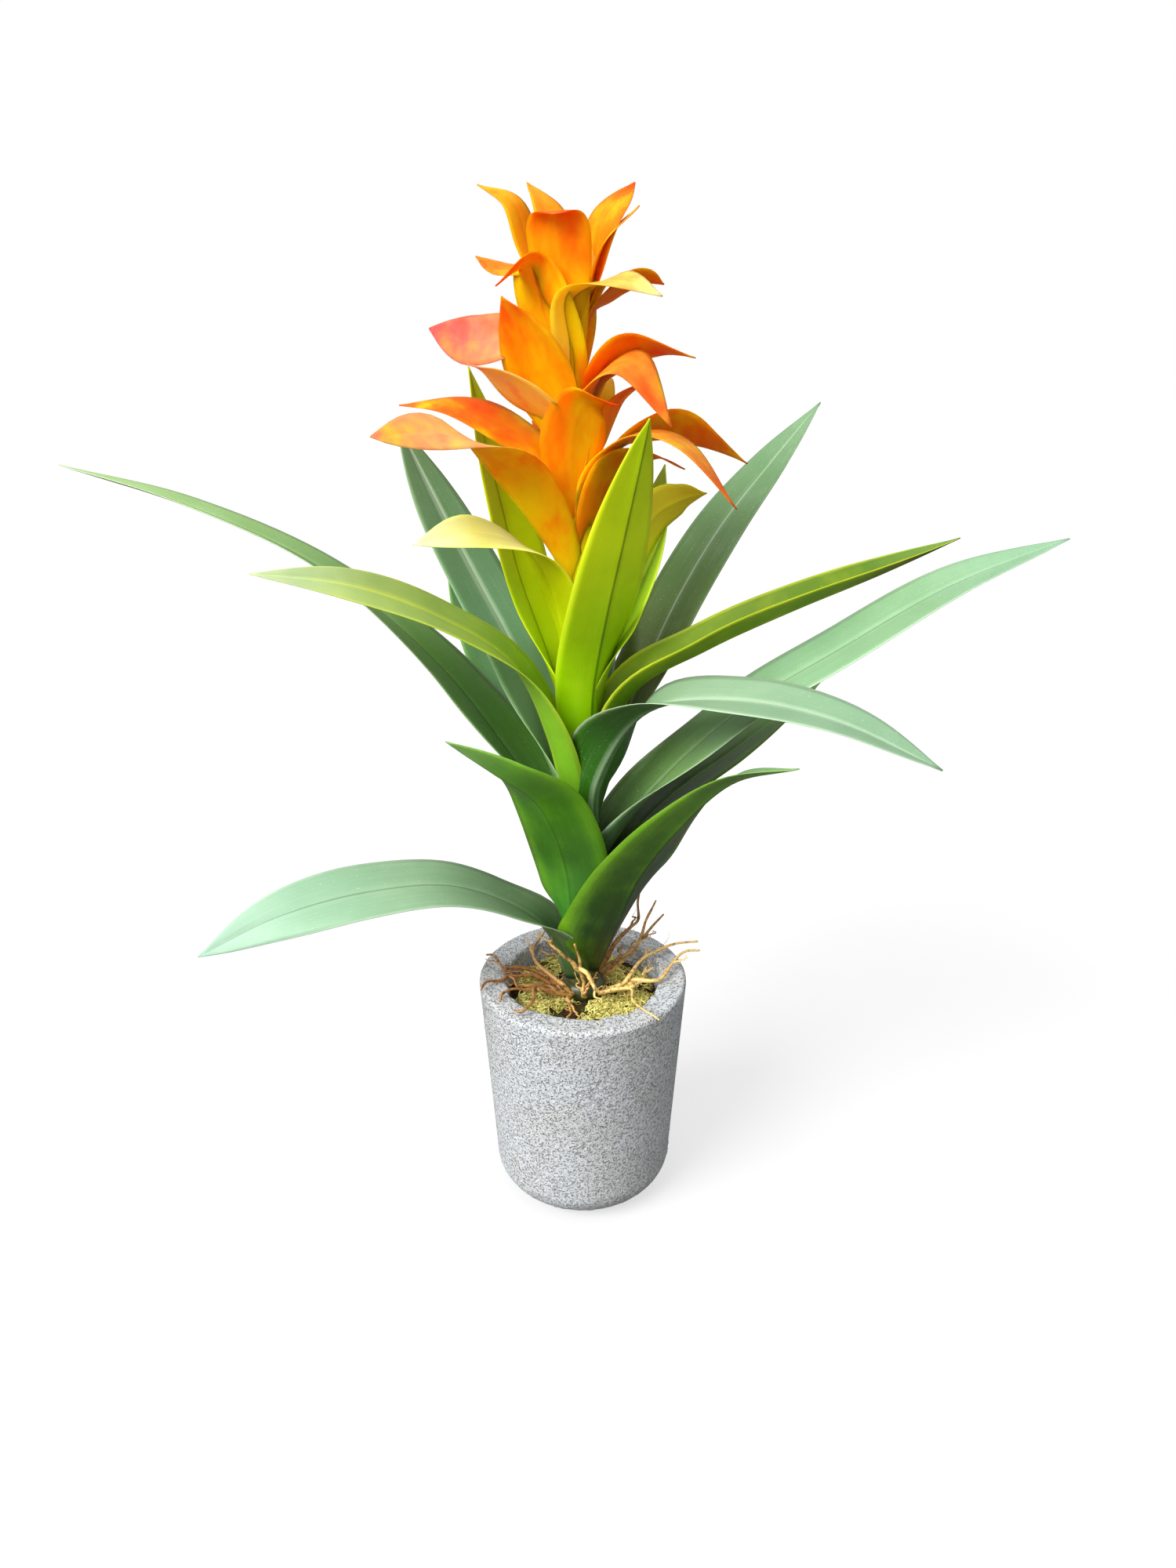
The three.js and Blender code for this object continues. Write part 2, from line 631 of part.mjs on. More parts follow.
// Closed ring between two skins whose last row meets the first.
function ringSolid(top, bottom) {
  const rows = top.length;
  const columns = top[0].length;
  const positions = [...top.flat(), ...bottom.flat()].flatMap((point) => point.toArray());
  const underside = rows * columns;
  const index = [];
  for (let i = 0; i < rows - 1; i += 1) {
    for (let j = 0; j < columns - 1; j += 1) {
      const [a, d] = [i * columns + j, i * columns + j + 1];
      const [b, c] = [a + columns, d + columns];
      index.push(a, b, c, a, c, d);
      index.push(a + underside, c + underside, b + underside);
      index.push(a + underside, d + underside, c + underside);
    }
    const inner = i * columns;
    const outer = inner + columns - 1;
    index.push(inner, inner + underside, inner + columns + underside);
    index.push(inner, inner + columns + underside, inner + columns);
    index.push(outer, outer + columns, outer + columns + underside);
    index.push(outer, outer + columns + underside, outer + underside);
  }
  const geometry = new THREE.BufferGeometry();
  geometry.setAttribute("position", new THREE.Float32BufferAttribute(positions, 3));
  geometry.setIndex(index);
  return toSolid(geometry);
}

function stemProfile(grow) {
  return [
    [0, stemFoot + fit],
    [stemBaseRadius + grow, stemFoot + fit],
    [stemBaseRadius + grow, collarTop],
    [stemTopRadius + grow, stemTop],
    [0, stemTop],
  ];
}

function makeRoots() {
  const collar = turned(
    [
      [stemBaseRadius + fit, soilTop + fit],
      [collarRadius, soilTop + fit],
      [collarRadius, collarTop - collarBevel.drop],
      [collarRadius - collarBevel.inset, collarTop],
      [stemBaseRadius + fit, collarTop],
      [stemBaseRadius + fit, soilTop + fit],
    ],
    stemSegments,
  );
  const hole = turned(stemProfile(fit), stemSegments);
  const strands = rootRoutes.map((route) => tube(route, rootRadius, rootTipRadius, rootSides, 0));
  return biggestBody(strands.reduce((body, strand) => body.add(strand), collar).subtract(hole));
}

// Core of the head, with every orange bract fused to it.
function makeBloom(grow) {
  const route = Array.from({ length: coreSteps + 1 }, (_, i) => {
    const height = stemTop + fit + ((coreTop - stemTop - fit) * i) / coreSteps;
    return [lean(height), 0, height];
  });
  const core = tube(route, coreRadius, coreTopRadius, coreSides, grow);
  const bracts = [...bractRows, ...farBractRows()].map((row) => bractSolid(row, grow));
  return biggestBody(bracts.reduce((body, bract) => body.add(bract), core));
}

// Leaves from the youngest to the oldest. Each older leaf's base is slit where a younger
// one passes through it, and every base stops short of the stem.
function makeLeaves(bloomCut) {
  const stemCut = turned(stemProfile(fit), stemSegments);
  const rows = [...leafRows].sort((a, b) => b.root - a.root);
  const cuts = [stemCut, bloomCut];
  const meshes = [];
  for (const row of rows) {
    const whole = leafSolid(row, 0);
    const trimmed = cuts.reduce((body, cut) => body.subtract(cut), whole);
    meshes.push(toMesh(row.name, biggestBody(trimmed), row.look));
    cuts.push(leafSolid(row, fit));
  }
  return meshes;
}

const group = new THREE.Group();
group.name = "guzmania";
group.add(toMesh("pot", makePot(), "concrete"));
group.add(toMesh("soil", makeSoil(), "soil"));
group.add(toMesh("moss", makeMoss(), "moss"));
group.add(toMesh("roots", makeRoots(), "root"));
group.add(toMesh("stem", turned(stemProfile(0), stemSegments), "stem"));
group.add(toMesh("bloom", makeBloom(0), "orange"));
group.add(...makeLeaves(makeBloom(fit)));

export default group;
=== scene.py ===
"""Potted guzmania: a pale concrete-look pot with soil, moss and aerial roots, a short
stem, an arching rosette of leaves and a tall head of orange bracts.

Lengths in the rows below are millimetres and angles are degrees. The frame's own metres
are reached by MM. Azimuths run round the stem from +X, and -Y points to the viewer.
"""

import math

import bpy
import numpy as np
from bpy.props import FloatProperty, FloatVectorProperty, IntProperty, PointerProperty
from bpy.types import Operator, Panel, PropertyGroup
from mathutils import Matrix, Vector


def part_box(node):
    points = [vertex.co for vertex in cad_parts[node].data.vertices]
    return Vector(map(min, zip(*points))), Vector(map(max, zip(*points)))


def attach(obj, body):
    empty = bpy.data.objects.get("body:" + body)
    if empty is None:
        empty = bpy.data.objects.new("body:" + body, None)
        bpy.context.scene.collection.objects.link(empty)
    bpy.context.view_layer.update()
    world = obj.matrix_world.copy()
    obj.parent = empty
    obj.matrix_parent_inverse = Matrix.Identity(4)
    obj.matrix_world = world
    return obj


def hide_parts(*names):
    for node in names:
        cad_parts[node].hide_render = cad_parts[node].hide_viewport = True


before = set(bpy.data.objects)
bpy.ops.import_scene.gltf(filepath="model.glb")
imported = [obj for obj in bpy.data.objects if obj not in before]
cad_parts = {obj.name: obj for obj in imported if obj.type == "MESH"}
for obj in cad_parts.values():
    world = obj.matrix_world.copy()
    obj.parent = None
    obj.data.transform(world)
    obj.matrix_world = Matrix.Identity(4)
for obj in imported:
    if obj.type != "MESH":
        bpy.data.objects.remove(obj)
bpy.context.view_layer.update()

bl_info = {
    "name": "Potted guzmania",
    "version": (1, 0, 0),
    "blender": (4, 5, 0),
    "location": "View3D > Sidebar > Guzmania",
    "description": "Builds a potted guzmania from its pot up to its flower head",
    "category": "Add Mesh",
}

MM = 0.001

# Sizes that come from the frame, in millimetres.
POT_TOP_RADIUS, _, POT_HEIGHT = np.array(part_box("pot")[1]) / MM
SOIL_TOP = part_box("soil")[1][2] / MM
STEM_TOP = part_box("stem")[1][2] / MM

# The pot's own proportions.
FOOT_SHARE = 0.875
POT_WALL = 16
POT_FLOOR = 12
FOOT_ROUND = 20
RIM_ROUND = 2.5
CHIP_REACH = 2.2
CHIP_SIZES = (7, 3)
PIT_SIZES = (2.6, 1.5)
FIT = 0.3

# The stem and the core of the head, which leans a little to the left towards its top.
STEM_BASE_RADIUS = 9
STEM_TOP_RADIUS = 5.5
COLLAR_TOP = 138
COLLAR_RADIUS = 13
CORE_TOP = 515
CORE_RADIUS = 7
CORE_TOP_RADIUS = 4
LEAN_START = 380
LEAN_HEIGHT = 160
LEAN_REACH = 10

# Outline and section of a blade. base is its width at the root as a share of the widest,
# which is at peak along it, and tip is the power of its narrowing beyond that. wrap is how
# far each half of the root bends round what carries it, and fades out at wrap_end.
BASE_EASE = 1.3
LEAF_SHAPE = {"base": 0.85, "peak": 0.45, "tip": 2, "wrap": 95, "wrap_end": 0.35}
BRACT_SHAPE = {"base": 0.4, "peak": 0.48, "tip": 1.7, "wrap": 60, "wrap_end": 0.45}

# A skin is the blade's thickness at its root and at its tip, and a lattice is the number of
# steps along and across it.
LEAF_SKIN = (1.1, 0.8)
BRACT_SKIN = (1.0, 0.7)
BRACT_ROOT_REACH = 1
LEAF_LATTICE = (44, 20)
BRACT_LATTICE = (28, 16)

# A blade's columns stand closer by its midrib, by the share CROWDING of a cube. Its margins
# are thinner by MARGIN_THINNING, and the keel is KEEL_SHARE as high as the groove is deep.
CROWDING = 0.55
MARGIN_THINNING = 0.65
KEEL_SHARE = 0.8
GROOVE_REACH = 1.6
LEAST_HALF_WIDTH = 0.35

# A path is the midrib's [reach, height] from the stem's axis after the root. sway moves it
# to the left as one looks out along the blade, roll lifts that side and fold lifts both
# halves. upper and lower are the colours of the two faces from root to tip, on a scale of
# 0 to 255. They carry painted light and shade. Near most roots they are darker, partly by
# the leaves' own colour and partly as painted shade from the leaves round them. right_under
# is painted in shade where right_long covers it, and front_right's lower face is painted in
# shade. Near the roots of back_left and young_left, painted light makes them lighter.
# marks are the strengths of the midrib's line, of the band beside it and of the margin,
# pale above zero and dark below it.
LEAVES = [
    dict(
        name="far_left", azimuth=172, root=222, width=52, roll=[-25, 5, 0], fold=[10, 10, 15],
        path=[[36, 270], [80, 328], [138, 375], [206, 405], [273, 424]],
        shape={"base": 0.6, "peak": 0.35, "tip": 1.35}, slot="leaf_green", marks=(-0.5, 0.1, 0.6),
        upper=[(50, 95, 15), (95, 145, 60), (120, 160, 90), (150, 180, 120)],
        lower=[(50, 95, 20), (95, 145, 60), (150, 185, 115), (175, 200, 140)],
    ),
    dict(
        name="mid_left", azimuth=200, root=238, width=37, roll=[-10, -15, -35], fold=[15, 5, 5],
        path=[[19, 290], [38, 333], [76, 362], [118, 381], [162, 390]],
        shape={"base": 0.85, "tip": 2.2, "wrap_end": 0.55}, slot="leaf_lime", marks=(0.35, 0.25, 0.45),
        upper=[(80, 145, 10), (135, 180, 30), (140, 172, 60), (150, 175, 95), (180, 200, 155)],
        lower=[(110, 170, 30), (135, 190, 45), (130, 165, 65), (135, 160, 85), (165, 185, 130)],
    ),
    dict(
        name="front_left", azimuth=235, root=152, width=50, roll=[0, 10, 0], fold=[10, 15, 25],
        path=[[12, 187], [16, 222], [28, 256], [48, 278], [66, 298]],
        sway=[0, 0, -12, -38], shape={"base": 0.5, "tip": 2.4, "wrap_end": 0.28},
        slot="leaf_dark", marks=(-0.3, 0.1, 0.5),
        upper=[(40, 90, 20), (60, 120, 30), (60, 110, 20), (80, 125, 50)],
        lower=[(55, 115, 40), (62, 125, 40), (50, 95, 20), (62, 118, 8), (95, 150, 50), (125, 165, 95)],
    ),
    dict(
        name="low_left", azimuth=197, root=140, width=40, roll=[0, -15, -60], fold=[15, 5, 5],
        path=[[26, 179], [70, 208], [118, 213], [166, 206], [209, 189]],
        shape={"base": 1, "tip": 2.6, "wrap": 110, "wrap_end": 0.3},
        slot="leaf_mint", marks=(-0.5, 0.1, 0.35),
        upper=[(45, 75, 35), (90, 125, 75), (125, 158, 122), (135, 172, 140), (158, 192, 168)],
        lower=[(45, 75, 30), (80, 118, 65), (100, 135, 100), (115, 155, 120), (130, 165, 140)],
    ),
    dict(
        name="back_left", azimuth=141, root=232, width=44, roll=[0, 0, 0], fold=[15, 5, 5],
        path=[[25, 282], [47, 325], [74, 361], [103, 400], [130, 440]],
        shape={"tip": 3}, slot="leaf_green", marks=(-0.35, 0.6, 0.25),
        # Painted light: the pale first colours light up a stretch that lies in shade.
        upper=[(140, 182, 105), (132, 174, 115), (105, 148, 105), (94, 132, 84), (100, 128, 80)],
        lower=[(130, 170, 95), (125, 165, 105), (100, 142, 100), (92, 130, 80), (96, 124, 76)],
    ),
    dict(
        name="back_left_low", azimuth=132, root=205, width=38, roll=[0, 0, 0], fold=[15, 5, 5],
        path=[[21, 250], [48, 285], [76, 312], [100, 342], [116, 374]],
        slot="leaf_dark", marks=(-0.2, 0.3, 0.4),
        upper=[(150, 190, 140), (125, 170, 115), (105, 158, 95), (100, 150, 95)],
        lower=[(120, 160, 110), (105, 145, 90), (90, 140, 80), (90, 140, 80)],
    ),
    dict(
        name="young_left", azimuth=143, root=285, width=38, roll=[0, 0, 0], fold=[20, 20, 20],
        path=[[21, 325], [41, 368], [54, 409], [64, 441], [72, 472]],
        shape={"tip": 1.7}, slot="leaf_olive", marks=(-0.5, -0.1, 0.5),
        # Painted light: these bright yellow-greens make a leaf that lies in shade look lit.
        upper=[(185, 225, 0), (200, 235, 5), (190, 210, 8), (160, 175, 25)],
        lower=[(170, 205, 0), (180, 215, 5), (165, 180, 8), (140, 145, 20)],
    ),
    dict(
        name="young_front", azimuth=306, root=275, width=44, roll=[0, 0, 0], fold=[15, 10, 20],
        path=[[9, 315], [20, 357], [33, 397], [44, 431], [52, 457]],
        shape={"base": 0.8, "tip": 1.7, "wrap": 80, "wrap_end": 0.5},
        slot="leaf_lime", marks=(-0.7, -0.15, 0.5),
        upper=[(110, 165, 0), (140, 190, 0), (155, 200, 5), (155, 190, 10)],
        lower=[(120, 180, 0), (145, 195, 0), (165, 205, 5), (195, 225, 15), (185, 220, 15), (165, 198, 10)],
    ),
    dict(
        name="young_back", azimuth=38, root=285, width=38, roll=[0, 0, 0], fold=[25, 20, 15],
        path=[[17, 325], [31, 352], [43, 378], [50, 402], [54, 425]],
        slot="leaf_lime", marks=(-0.3, 0.1, 0.5),
        upper=[(120, 160, 8), (150, 190, 20), (165, 205, 50), (185, 220, 100)],
        lower=[(110, 148, 8), (138, 178, 20), (152, 190, 46), (170, 206, 92)],
    ),
    dict(
        name="back_right", azimuth=46, root=235, width=38, roll=[0, 0, 0], fold=[20, 5, 10],
        path=[[34, 290], [70, 342], [110, 382], [155, 413], [202, 443]],
        shape={"tip": 2.4}, slot="leaf_green", marks=(0.4, 0.1, 0.2),
        upper=[(65, 75, 12), (85, 100, 28), (85, 118, 58), (100, 138, 90), (110, 145, 106)],
        lower=[(60, 70, 10), (80, 95, 25), (80, 112, 55), (95, 132, 85), (105, 140, 102)],
    ),
    dict(
        name="right_upper", azimuth=12, root=262, width=34, roll=[0, 0, 0], fold=[25, 45, 25],
        path=[[27, 310], [67, 332], [112, 350], [160, 367], [206, 385]],
        shape={"tip": 2.4}, slot="leaf_olive", marks=(-0.2, 0.1, 0.6),
        upper=[(70, 105, 15), (130, 160, 30), (110, 140, 45), (83, 117, 25), (105, 135, 60)],
        lower=[(45, 80, 5), (100, 135, 5), (120, 155, 30), (105, 142, 30), (75, 105, 20)],
    ),
    dict(
        name="right_long", azimuth=0, root=212, width=43, roll=[10, 12, 15], fold=[15, 5, 10],
        path=[[39, 258], [85, 304], [134, 337], [187, 370], [243, 394]],
        shape={"tip": 3}, slot="leaf_mint", marks=(-0.45, 0.15, 0.4),
        upper=[(45, 70, 35), (110, 150, 80), (125, 165, 122), (116, 154, 112), (125, 162, 130)],
        lower=[(50, 80, 45), (100, 140, 90), (118, 158, 115), (112, 150, 108), (118, 155, 122)],
    ),
    dict(
        name="right_droop", azimuth=335, root=228, width=46,
        roll=[0, -50, -8, 6, 8, 12], fold=[10, 25, 20, 10, 10, 15],
        path=[[14, 268], [38, 309], [84, 321], [136, 318], [187, 302]], sway=[0, -10, -4, 0, 0, 0],
        shape={"base": 0.95, "peak": 0.22, "tip": 3.8, "wrap_end": 0.4},
        slot="leaf_mint", marks=(-0.2, 0.3, 0.45),
        upper=[(60, 95, 35), (110, 148, 98), (135, 165, 132), (120, 155, 120), (118, 152, 120)],
        lower=[(45, 100, 10), (40, 90, 12), (75, 115, 55), (95, 135, 85), (95, 130, 80)],
    ),
    dict(
        name="right_under", azimuth=25, root=168, width=36, roll=[0, 0, 0], fold=[15, 10, 10],
        path=[[28, 218], [57, 244], [95, 264], [130, 284], [160, 306]],
        slot="leaf_dark", marks=(0.2, 0.1, 0.3),
        # Painted shade: the dark first colours stand for the shade under right_long.
        upper=[(40, 60, 20), (40, 65, 20), (48, 75, 22), (90, 128, 65), (125, 165, 100)],
        lower=[(36, 55, 18), (37, 60, 18), (44, 69, 20), (83, 118, 60), (115, 152, 92)],
    ),
    dict(
        name="front_right", azimuth=325, root=146, width=66, roll=[0, -25, 0], fold=[10, 20, 30],
        path=[[23, 179], [37, 213], [61, 250], [91, 284], [126, 300]],
        shape={"base": 0.2, "peak": 0.16, "tip": 1.25, "wrap": 65, "wrap_end": 0.5},
        slot="leaf_dark", marks=(-0.3, 0.1, 0.6),
        upper=[(60, 85, 35), (65, 95, 40), (110, 145, 100), (115, 150, 110)],
        # Painted shade: this face's dark greens stand for the shade it lies in.
        lower=[(18, 45, 8), (28, 58, 10), (48, 82, 16), (64, 104, 26), (88, 130, 48), (130, 170, 95)],
    ),
    dict(
        name="back_tall", azimuth=88, root=250, width=36, roll=[0, 0, 0], fold=[15, 10, 10],
        path=[[22, 300], [46, 338], [80, 362], [118, 376], [156, 378]],
        slot="leaf_green", marks=(-0.3, 0.2, 0.3),
        upper=[(60, 92, 40), (92, 134, 88), (112, 156, 116), (130, 172, 134)],
        lower=[(56, 84, 38), (80, 118, 74), (100, 140, 98), (116, 156, 118)],
    ),
    dict(
        name="back_short", azimuth=108, root=180, width=36, roll=[0, 0, 0], fold=[15, 10, 10],
        path=[[20, 225], [42, 262], [74, 285], [110, 296], [146, 292]],
        slot="leaf_green", marks=(-0.3, 0.2, 0.3),
        upper=[(56, 88, 40), (88, 130, 84), (112, 156, 116), (132, 176, 138)],
        lower=[(50, 80, 36), (76, 114, 70), (96, 138, 96), (114, 156, 116)],
    ),
]

# The two small blades between leaf and flower in colour, which are made as bracts are.
TRANSITION = [
    dict(
        name="olive_right", azimuth=12, root=318, width=31, roll=[0, -45, -55, -60, -40], fold=[5, 5, 5],
        path=[[18, 361], [34, 400], [50, 411], [64, 414]],
        slot="leaf_olive", marks=(-0.2, 0.1, 0.4),
        upper=[(200, 210, 10), (225, 225, 20), (235, 210, 45), (215, 185, 30)],
        lower=[(200, 215, 10), (225, 235, 15), (240, 215, 45), (220, 190, 40), (215, 175, 12)],
    ),
    dict(
        name="pale_left", azimuth=207, root=308, width=42, roll=[10, 0, -45], fold=[5, 5, 5],
        path=[[12, 352], [26, 388], [56, 402], [88, 400]],
        slot="bract_cream", marks=(-0.15, 0.1, 0.5),
        upper=[(190, 205, 20), (215, 215, 60), (235, 230, 140), (225, 215, 110), (225, 225, 180)],
        lower=[(175, 200, 0), (190, 205, 2), (235, 230, 5), (235, 225, 60)],
    ),
]

# Orange bracts, from the top of the head down, in the same terms.
BRACTS = [
    dict(
        azimuth=165, root=478, path=[[18, 520], [27, 545], [44, 553]], width=18, roll=[0, -20, -20],
        tone="amber",
    ),
    dict(azimuth=140, root=500, path=[[5, 528], [12, 544], [24, 554]], width=24, tone="amber"),
    dict(
        azimuth=25, root=475, path=[[10, 512], [16, 538], [32, 554]], width=30, roll=[0, 0, 15],
        shape={"base": 0.3, "peak": 0.65}, tone="gold",
    ),
    dict(
        azimuth=355, root=465, path=[[6, 500], [14, 528], [30, 544]], width=22, roll=[0, 0, 15],
        tone="amber",
    ),
    dict(
        azimuth=262, root=455, path=[[8, 492], [12, 522], [17, 540], [27, 540]], width=29,
        sway=[0, -3, -5, -5], shape={"base": 0.3, "peak": 0.62}, tone="flame",
    ),
    dict(
        azimuth=205, root=452, path=[[5, 480], [15, 503], [23, 521], [39, 511]], width=32,
        roll=[0, 30, 20], tone="sunny",
    ),
    dict(
        azimuth=165, root=478, path=[[8, 503], [20, 516], [34, 518], [46, 523]], width=20,
        roll=[0, -10, -15], shape={"base": 0.25, "peak": 0.7}, tone="rust",
    ),
    dict(
        azimuth=330, root=450, path=[[1, 482], [5, 506], [25, 514], [45, 507]], width=32,
        sway=[0, -6, 0], roll=[0, 0, -10, 15, 20], tone="lemon",
    ),
    dict(
        azimuth=15, root=465, path=[[8, 496], [21, 509], [34, 514], [44, 511]], width=20,
        roll=[0, -20, -35, -30], tone="rust",
    ),
    dict(
        azimuth=176, root=450, path=[[12, 481], [29, 489], [49, 487], [69, 492]], width=26,
        roll=[-20, -50, -60], shape={"base": 0.2, "peak": 0.75, "tip": 1.7}, tone="peach",
    ),
    dict(
        azimuth=215, root=415, path=[[12, 448], [22, 474], [33, 494], [42, 507]], width=40,
        sway=[0, -3, 0, 0], roll=[0, 20, 10], shape={"base": 0.55}, tone="flame",
    ),
    dict(
        azimuth=350, root=440, path=[[10, 468], [22, 482], [38, 484], [56, 480]], width=28,
        roll=[0, -35, -10], tone="rust",
    ),
    dict(
        azimuth=322, root=412, path=[[3, 448], [12, 472], [31, 478], [53, 452]], width=34,
        roll=[0, 20, 20], tone="apricot",
    ),
    dict(
        azimuth=0, root=400, path=[[6, 432], [16, 458], [31, 469]], width=25, roll=[0, -20, -20],
        tone="flame",
    ),
    dict(
        azimuth=290, root=395, path=[[8, 425], [12, 447], [20, 462], [34, 461]], width=31,
        sway=[0, -8, -6, 6], roll=[0, -10, -25, -25], tone="ember",
    ),
    dict(
        azimuth=175, root=405, path=[[16, 432], [38, 448], [62, 457], [88, 457]], width=28,
        roll=[0, -25, -15], tone="tangerine",
    ),
    dict(
        azimuth=215, root=354, path=[[12, 392], [34, 428], [70, 450], [111, 452]], width=29,
        roll=[15, 40, 42, -20, -50], shape={"base": 0.35, "peak": 0.75, "tip": 2}, tone="nectar",
    ),
    dict(
        azimuth=200, root=420, path=[[12, 448], [28, 464], [42, 474], [54, 478]], width=30,
        roll=[0, 20, 0], tone="rose",
    ),
    dict(azimuth=335, root=390, path=[[7, 426], [28, 446], [54, 442], [80, 415]], width=28, tone="apricot"),
    dict(
        azimuth=15, root=405, path=[[19, 436], [42, 447], [64, 440], [87, 427]], width=32,
        roll=[0, -35, -10], tone="rust",
    ),
    dict(
        azimuth=345, root=375, path=[[7, 408], [18, 430], [34, 436], [51, 430]], width=32,
        roll=[0, -30, 0], tone="rust",
    ),
]

# Bracts on the far side of the head, spaced by a rule. The first is the lowest and
# largest, and the shares say how much smaller the last one is.
FAR_BRACTS = {"count": 6, "first_azimuth": 60, "last_azimuth": 150, "lowest": 372, "highest": 485}
FAR_BRACT_SIZE = {"reach": 70, "rise": 52, "width": 30}
FAR_BRACT_SHRINK = {"reach": 0.6, "rise": 0.15, "width": 0.25}
FAR_BRACT_CURVE = [[0.2, 0.6], [0.55, 1], [1, 0.95]]
FAR_BRACT_STRIDE = 3
FAR_BRACT_TONES = ["tangerine", "flame", "amber"]

# Colours of the two faces of a bract from root to tip, on a scale of 0 to 255. They carry
# painted light: stretches that lie in shade deep in the head, such as the lower faces of
# sunny and lemon, are made brighter than the bract's own colour so that they look lit.
TONES = {
    "amber": dict(
        upper=[(250, 200, 20), (245, 170, 15), (232, 140, 20)],
        lower=[(255, 205, 20), (250, 170, 10), (240, 125, 10)],
    ),
    "gold": dict(
        upper=[(245, 175, 5), (235, 135, 2), (226, 92, 5)],
        lower=[(250, 190, 10), (245, 160, 5), (235, 120, 10)],
    ),
    "flame": dict(
        upper=[(240, 150, 10), (238, 112, 6), (232, 64, 10)],
        lower=[(255, 214, 20), (252, 196, 5), (244, 150, 2), (244, 108, 2), (248, 84, 6)],
    ),
    "sunny": dict(
        upper=[(245, 170, 5), (242, 130, 3), (238, 80, 5)],
        lower=[(255, 218, 30), (255, 206, 10), (255, 190, 4), (255, 170, 4), (252, 92, 4)],
    ),
    "ember": dict(
        upper=[(240, 150, 10), (238, 112, 6), (232, 64, 10)],
        lower=[(255, 185, 3), (255, 150, 0), (255, 147, 0), (255, 130, 0), (255, 80, 4)],
    ),
    "lemon": dict(
        upper=[(250, 196, 10), (245, 160, 0), (240, 115, 0), (242, 118, 8), (248, 196, 90), (244, 208, 140)],
        lower=[(255, 232, 110), (255, 226, 60), (255, 196, 12), (255, 160, 4)],
    ),
    "rust": dict(
        upper=[(226, 140, 15), (222, 118, 15), (205, 96, 12)],
        lower=[(238, 150, 8), (238, 132, 6), (234, 116, 12)],
    ),
    "peach": dict(
        upper=[(240, 190, 90), (238, 180, 95), (232, 158, 100), (222, 112, 92), (220, 85, 85)],
        lower=[(235, 160, 60), (235, 150, 80), (230, 130, 90), (216, 90, 90)],
    ),
    "rose": dict(
        upper=[(246, 196, 100), (240, 170, 100), (230, 130, 110)],
        lower=[(245, 190, 20), (240, 190, 50), (245, 190, 90), (240, 180, 125), (232, 150, 140)],
    ),
    "tangerine": dict(
        upper=[(245, 170, 3), (240, 158, 2), (215, 110, 2), (222, 94, 4), (225, 105, 20)],
        lower=[(250, 180, 5), (250, 150, 2), (240, 120, 5), (235, 110, 20)],
    ),
    "nectar": dict(
        upper=[(245, 186, 20), (240, 166, 30), (230, 146, 65), (232, 156, 95), (225, 112, 80)],
        lower=[(255, 206, 10), (255, 188, 6), (255, 160, 4), (255, 146, 6), (240, 140, 60)],
    ),
    "apricot": dict(
        upper=[(250, 184, 40), (245, 166, 30), (232, 138, 24), (230, 130, 40), (222, 102, 34)],
        lower=[(255, 190, 12), (252, 170, 10), (240, 132, 18)],
    ),
}

